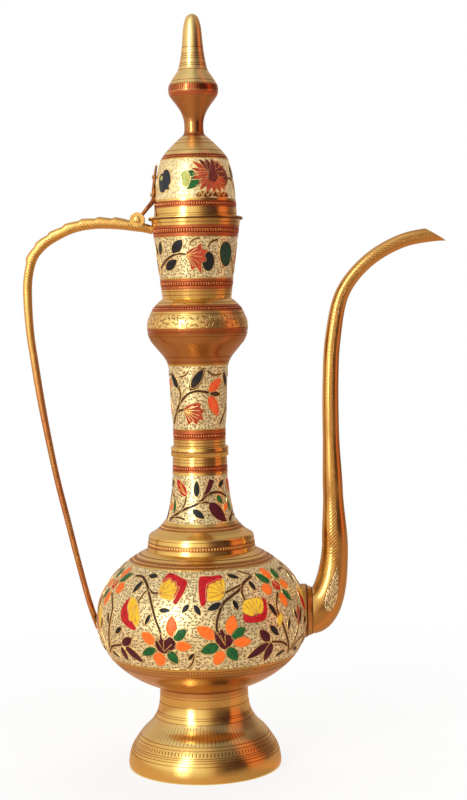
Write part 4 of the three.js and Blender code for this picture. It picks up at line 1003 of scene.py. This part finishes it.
def spout_rings(inset):
    stations = [elbow_station(i / ELBOW_RINGS) for i in range(ELBOW_RINGS)]
    stations += [riser_station(MOUTH_FROM * i / RISER_RINGS) for i in range(RISER_RINGS)]
    rings = [[spout_point(station, inset, column) for column in columns] for station in stations]
    ends = [(column, (mouth_end(column, inset) - MOUTH_FROM) / MOUTH_RINGS) for column in columns]
    for i in range(MOUTH_RINGS + 1):
        rings.append([spout_point(riser_station(MOUTH_FROM + step * i), inset, column)
                      for column, step in ends])
    return rings


def spout_slot(i, k):
    if i >= len(outer_rings):
        return "inside"
    return "seam" if i == len(outer_rings) - 1 or (k in seams and i > 4) else "spoutwork"


outer_rings, inner_rings = spout_rings(0), spout_rings(SPOUT_WALL)
lofted("spout", outer_rings + inner_rings[::-1], spout_slot, "vessel", closed=True,
       stands_for=("spout_near_half", "spout_far_half"), slot="chased_brass")

flange_line = pairs("11.3,60 18.2,60 18.2,70.4 17.9,71.1 17.3,71.5 16.3,74.2 15.9,74.8 11.3,74.8")
# The collar's bevels, where it meets the belly and at its front edge, take the dark shade material: painted
# shade.
flange = revolved("spout_collar", flange_line,
                  ["cast", "cast", "shade", "shade", "cast", "shade", "cast", "cast"], "vessel", sides=96,
                  stands_for=("spout_flange",), slot="polished_brass", place=along_x(SPOUT_ROOT_Z))
carve(flange, ("DIFFERENCE", block("belly_tool", BELLY, 0.45)))

# Handle with its lobed top and hinge boss
HANDLE = path([(-28.9, 364.7)] + [(-29.8 - 84.4 * x, 369.6 - 274.6 * z) for x, z in pairs("""0.084,0.0095
    0.2,0.0036 0.33,0 0.464,0 0.624,0.0087 0.795,0.033 0.879,0.052 0.95,0.08 0.993,0.13 1,0.186""")] + [
    (-71.4 - 42.8 * x, 369.6 - 274.6 * z) for x, z in pairs("""0.972,0.268 0.918,0.334 0.829,0.432 0.72,0.532
    0.596,0.632 0.449,0.731 0.3,0.832 0.138,0.933""")] + [(-71.4, 95)])
HANDLE_DEPTHS = pairs("0,5.92 0.04,7.4 0.2,7.03 0.3,6.3 0.45,5.42 0.7,4.4 1,3.96")
HANDLE_WIDTHS = pairs("0,6.58 0.03,9.4 0.22,7.99 0.45,6.58 0.9,5.64 0.965,9.4 1,4.7")
LOBES, LOBES_FROM, LOBES_LONG, LOBE_PEAK = 7, 0.05, 0.22, 0.78


def handle_ring(t):
    x, z, outward, upward = HANDLE.at(HANDLE.run[-1] * t)
    depth, across = stepped(HANDLE_DEPTHS, t) / 2 - 0.12, stepped(HANDLE_WIDTHS, t) / 2
    share = (t - LOBES_FROM) / LOBES_LONG
    lobe = LOBES * share % 1
    rise = 1.25 * min(lobe / LOBE_PEAK, (1 - lobe) / (1 - LOBE_PEAK)) ** 0.8 if 0 < share < 1 else 0
    ring = []
    for sine, cosine in circle(36):
        reach = depth * squarish(cosine, 0.85)
        reach += rise * max(cosine, 0) * (1 - 0.45 * math.exp(-(sine / 0.22) ** 2))
        ring.append((x + reach * outward, across * squarish(sine, 0.85), z + reach * upward))
    return ring


stations = [0.3 * i / 150 for i in range(150)] + [0.3 + 0.7 * i / 130 for i in range(131)]
handle = lofted("handle_bar", [handle_ring(t) for t in stations], lambda i, k: "handlework", "vessel",
                stands_for=("handle",), slot="chased_brass")
opening = add_object("slot_tool", bpy.data.meshes.new("slot_tool"))
shape = bmesh.new()
middle = Vector((AXIS_X + HINGE_X * MM, 0, (HINGE_Z + 10) * MM))
bmesh.ops.create_cube(shape, size=MM, matrix=Matrix.LocRotScale(middle, None, Vector((16.8, 3.8, 20))))
shape.to_mesh(opening.data)
shape.free()
carve(handle, ("UNION", disc("boss_tool", 4.9, 4.7, "handlework")),
      ("DIFFERENCE", disc("pocket_tool", 4.8, 1.9)), ("DIFFERENCE", opening),
      ("DIFFERENCE", disc("bore_tool", 1.5, 9)), ("DIFFERENCE", block("cup_tool", CUP, 0.4)),
      ("DIFFERENCE", block("belly_tool", BELLY, 0.45)))

pin_half = pairs("1.2,4.85 2.1,4.85 2.3,5.05 2.25,5.4 1.9,5.72 1.2,5.9 0.55,5.95")
pin_line = [(0, -5.95), *[(r, -y) for r, y in pin_half[::-1]], *pin_half, (0, 5.95)]
turned("hinge_pin", pin_line, ["gold"] * len(pin_line), sides=40, place=on_hinge)

# Strap with its knuckle, and the rivets
LID_SKIN = Skin(LID)


def lid_radius(z):
    return LID_SKIN.at(LID_SKIN.length(z))[0]


dome_points = [(-lid_radius(z) - 1.3, z) for z in (384.85, 390.8, 396.05, 401.3, 405.5, 408.3)]
leave = tuple(a + (b - a) * 0.42 for a, b in zip(dome_points[0], (HINGE_X, HINGE_Z)))
STRAP = path([(-38, 373), leave, *dome_points])
STRAP_WIDTHS = pairs("0,3.2 0.2,3.2 0.38,9 0.52,8.1 0.72,4.5 0.86,5.58 1,1.08")
STRAP_TOPS = pairs("0,1.5 0.42,1.9 0.7,1.1 1,0.5")


def strap_ring(t):
    x, z, outward, upward = STRAP.at(STRAP.run[-1] * t)
    across = stepped(STRAP_WIDTHS, t) / 2
    edge = min(0.5, across * 0.4)
    top = stepped(STRAP_TOPS, t)
    near = [(-0.9, across - edge), (-0.75, across - 0.1), (top * 0.4, across), (top * 0.8, across - edge),
            (top, across * 0.45), (top * 0.85, 0.3)]
    far = [(a, -b) for a, b in near[::-1]]
    return [(x + a * outward, b, z + a * upward) for a, b in far[-1:] + near + far[:-1]]


strap = lofted("strap", [strap_ring(i / 90) for i in range(91)], lambda i, k: "copper", "lid",
               stands_for=("hinge_strap",), slot="chased_brass")
carve(strap, ("UNION", disc("knuckle_tool", 4.2, 1.6, "copper")), ("DIFFERENCE", disc("bore_tool", 1.5, 3)))

for name, height in (("strap_rivet_lower", 388.35), ("strap_rivet_upper", 400.25)):
    outer, inner = -lid_radius(height) - 2.7, 2.3 - lid_radius(height)
    line = [(0, outer - 0.5), (0.7, outer - 0.45), (1.25, outer - 0.3), (1.7, outer), (1.5, outer + 0.15),
            (0.9, outer + 0.15), (0.9, inner), (1.7, inner), (1.4, inner + 0.6), (0, inner + 0.8)]
    revolved(name + "_domed", line, ["gold"] * len(line), "lid", sides=32, stands_for=(name,),
             slot="polished_brass", place=along_x(height))

# The nodes that keep their own shape
for name in ("lid_sleeve", "finial_washer", "finial_nut"):
    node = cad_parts[name]
    node.data.materials.clear()
    node.data.materials.append(MATERIALS["plain"])

# Camera
PITCH, ROLL = math.radians(3.55), math.radians(-0.97)
PHOTO_HEIGHT, FOCAL_PIXELS, SENSOR = 800, 1613, 36
forward = Vector((0, math.cos(PITCH), -math.sin(PITCH)))
right = Vector((1, 0, 0))
up = right.cross(forward)
side = right * math.cos(ROLL) + up * math.sin(ROLL)
top = up * math.cos(ROLL) - right * math.sin(ROLL)
data = bpy.data.cameras.new("camera")
camera = add_object("camera", data)
turn = Matrix((side, top, -forward)).transposed().to_4x4()
camera.matrix_world = Matrix.Translation((AXIS_X + 23.5 * MM, -1.091, 0.317)) @ turn
data.sensor_fit = "VERTICAL"
data.sensor_height = SENSOR
data.lens = FOCAL_PIXELS * SENSOR / PHOTO_HEIGHT
data.clip_end = 50
bpy.context.scene.camera = camera


# Light, floor and background

def lamp(name, azimuth, distance, height, width, tall, power, colour=(1, 1, 1), seen=True):
    data = bpy.data.lights.new(name, "AREA")
    data.shape = "RECTANGLE"
    data.size, data.size_y = width, tall
    data.energy = power
    data.color = colour
    thing = add_object(name, data)
    angle = math.radians(azimuth)
    thing.location = (distance * math.sin(angle), -distance * math.cos(angle), height)
    thing.rotation_euler = (Vector((0, 0, 0.25)) - thing.location).to_track_quat("-Z", "Y").to_euler()
    thing.visible_glossy = seen


def set_piece(name, points, faces, material):
    """An object that isn't part of the ewer."""
    mesh = bpy.data.meshes.new(name)
    mesh.from_pydata(points, [], faces)
    mesh.materials.append(material)
    thing = add_object(name, mesh)
    return thing


lamp("key", -34, 1.5, 0.75, 0.36, 1.3, 12, (1.0, 0.98, 0.95))
lamp("fill", 40, 2.2, 1.1, 1.0, 1.0, 9, (1.0, 0.97, 0.93), seen=False)
lamp("overhead", 150, 0.9, 2.0, 1.4, 1.4, 16, seen=False)

# A bowl round the object that only reflections see, with its colour by azimuth from the front
BOWL_SIDES = 64
bowl = Look("bowl", (255, 255, 255), 0.0, 1.0)
x, y, z = bowl.split(bowl.node("TexCoord").outputs["Object"])
turn = bowl.math("ARCTAN2", x, bowl.times(y, -1.0))
wheel = bowl.node("ValToRGB", {0: bowl.math("MULTIPLY_ADD", turn, 1 / math.tau, 0.5)})
around = wheel.outputs["Color"]
elements = wheel.color_ramp.elements
elements.remove(elements[-1])
for azimuth, *colour in pairs("""-180,150,126,116 -166,196,176,164 -140,218,198,186 -120,214,190,176
    -92,232,216,202 -62,252,244,232 -30,255,255,250 -6,250,246,232 10,216,192,168 20,144,114,104 34,86,62,64
    66,58,38,42 72,232,138,98 97,212,124,90 105,104,78,78 132,134,108,102 156,198,174,160 180,150,126,116"""):
    place = azimuth / 360 + 0.5
    element = elements.new(place) if place else elements[0]
    element.position = place
    element.color = linear(*colour)
out = bowl.math("SQRT", bowl.math("MULTIPLY_ADD", x, x, bowl.times(y, y)))
low = bowl.blend(bowl.ramp(out, 0.2, 1.3), linear(230, 194, 164), linear(214, 182, 158))
soft = bowl.blend(0.68, around, (0.8, 0.8, 0.8, 1))
under = bowl.blend(1.0, soft, low, blend_type="MULTIPLY")
tone = bowl.blend(bowl.ramp(z, 0.0, 0.14), under, around)
tone = bowl.blend(bowl.ramp(z, 0.9, 2.0, 0.0, 0.45), tone, linear(190, 190, 194))
bowl.surface(bowl.node("Emission", {"Color": tone, "Strength": 1.17}))
line = pairs("""0.053,0.0001 0.6,0.0001 1.6,0.0001 1.7,0.03 1.7,0.6 1.7,1.2 1.6,1.6 1.3,1.95 0.8,2.2
    0.0005,2.3""")
points = [(r * sine, -r * cosine, z) for r, z in line for sine, cosine in circle(BOWL_SIDES)]
rows = [list(range(i, i + BOWL_SIDES)) for i in range(0, len(points), BOWL_SIDES)]
faces = [face for low, high in zip(rows, rows[1:]) for face in belt(low, high)]
thing = set_piece("bowl", points, faces, bowl.material)
thing.location = (AXIS_X, 0, 0)
thing.visible_camera = thing.visible_diffuse = thing.visible_shadow = thing.visible_transmission = False

floor = Look("floor", (250, 249, 246), 0.0, 0.9)
source = floor.node("TexCoord").outputs["Object"]
floor.bump(floor.noise(source, 3.0, 90.0), 0.0002, 0.15)
reach = floor.node("VectorMath", {0: source}, operation="LENGTH").outputs["Value"]
glow = floor.node("Emission", {"Color": (1, 1, 1, 1)})
floor.surface(floor.node("MixShader", {
    0: floor.ramp(reach, 0.08, 0.6, 0.8, 1.0), 1: floor.shader.outputs[0], 2: glow.outputs[0]}))
edge = [(6 * sine, 6 * cosine, 0) for sine, cosine in circle(96)][::-1]
set_piece("floor", edge, [range(96)], floor.material)

world = bpy.data.worlds.new("studio")
bpy.context.scene.world = world
world.use_nodes = True
tree = world.node_tree
background = tree.nodes["Background"]
background.inputs["Color"].default_value = (1, 1, 1, 1)
rays = add_node(tree, "LightPath").outputs
seen = rays["Is Camera Ray"]
for other in ("Is Glossy Ray", "Is Transmission Ray"):
    seen = add_node(tree, "Math", {0: seen, 1: rays[other]}, operation="MAXIMUM").outputs[0]
level = add_node(tree, "MapRange", {"Value": seen, "To Min": 0.5, "To Max": 1.0})
tree.links.new(level.outputs["Result"], background.inputs["Strength"])
bpy.context.scene.view_settings.view_transform = "Standard"
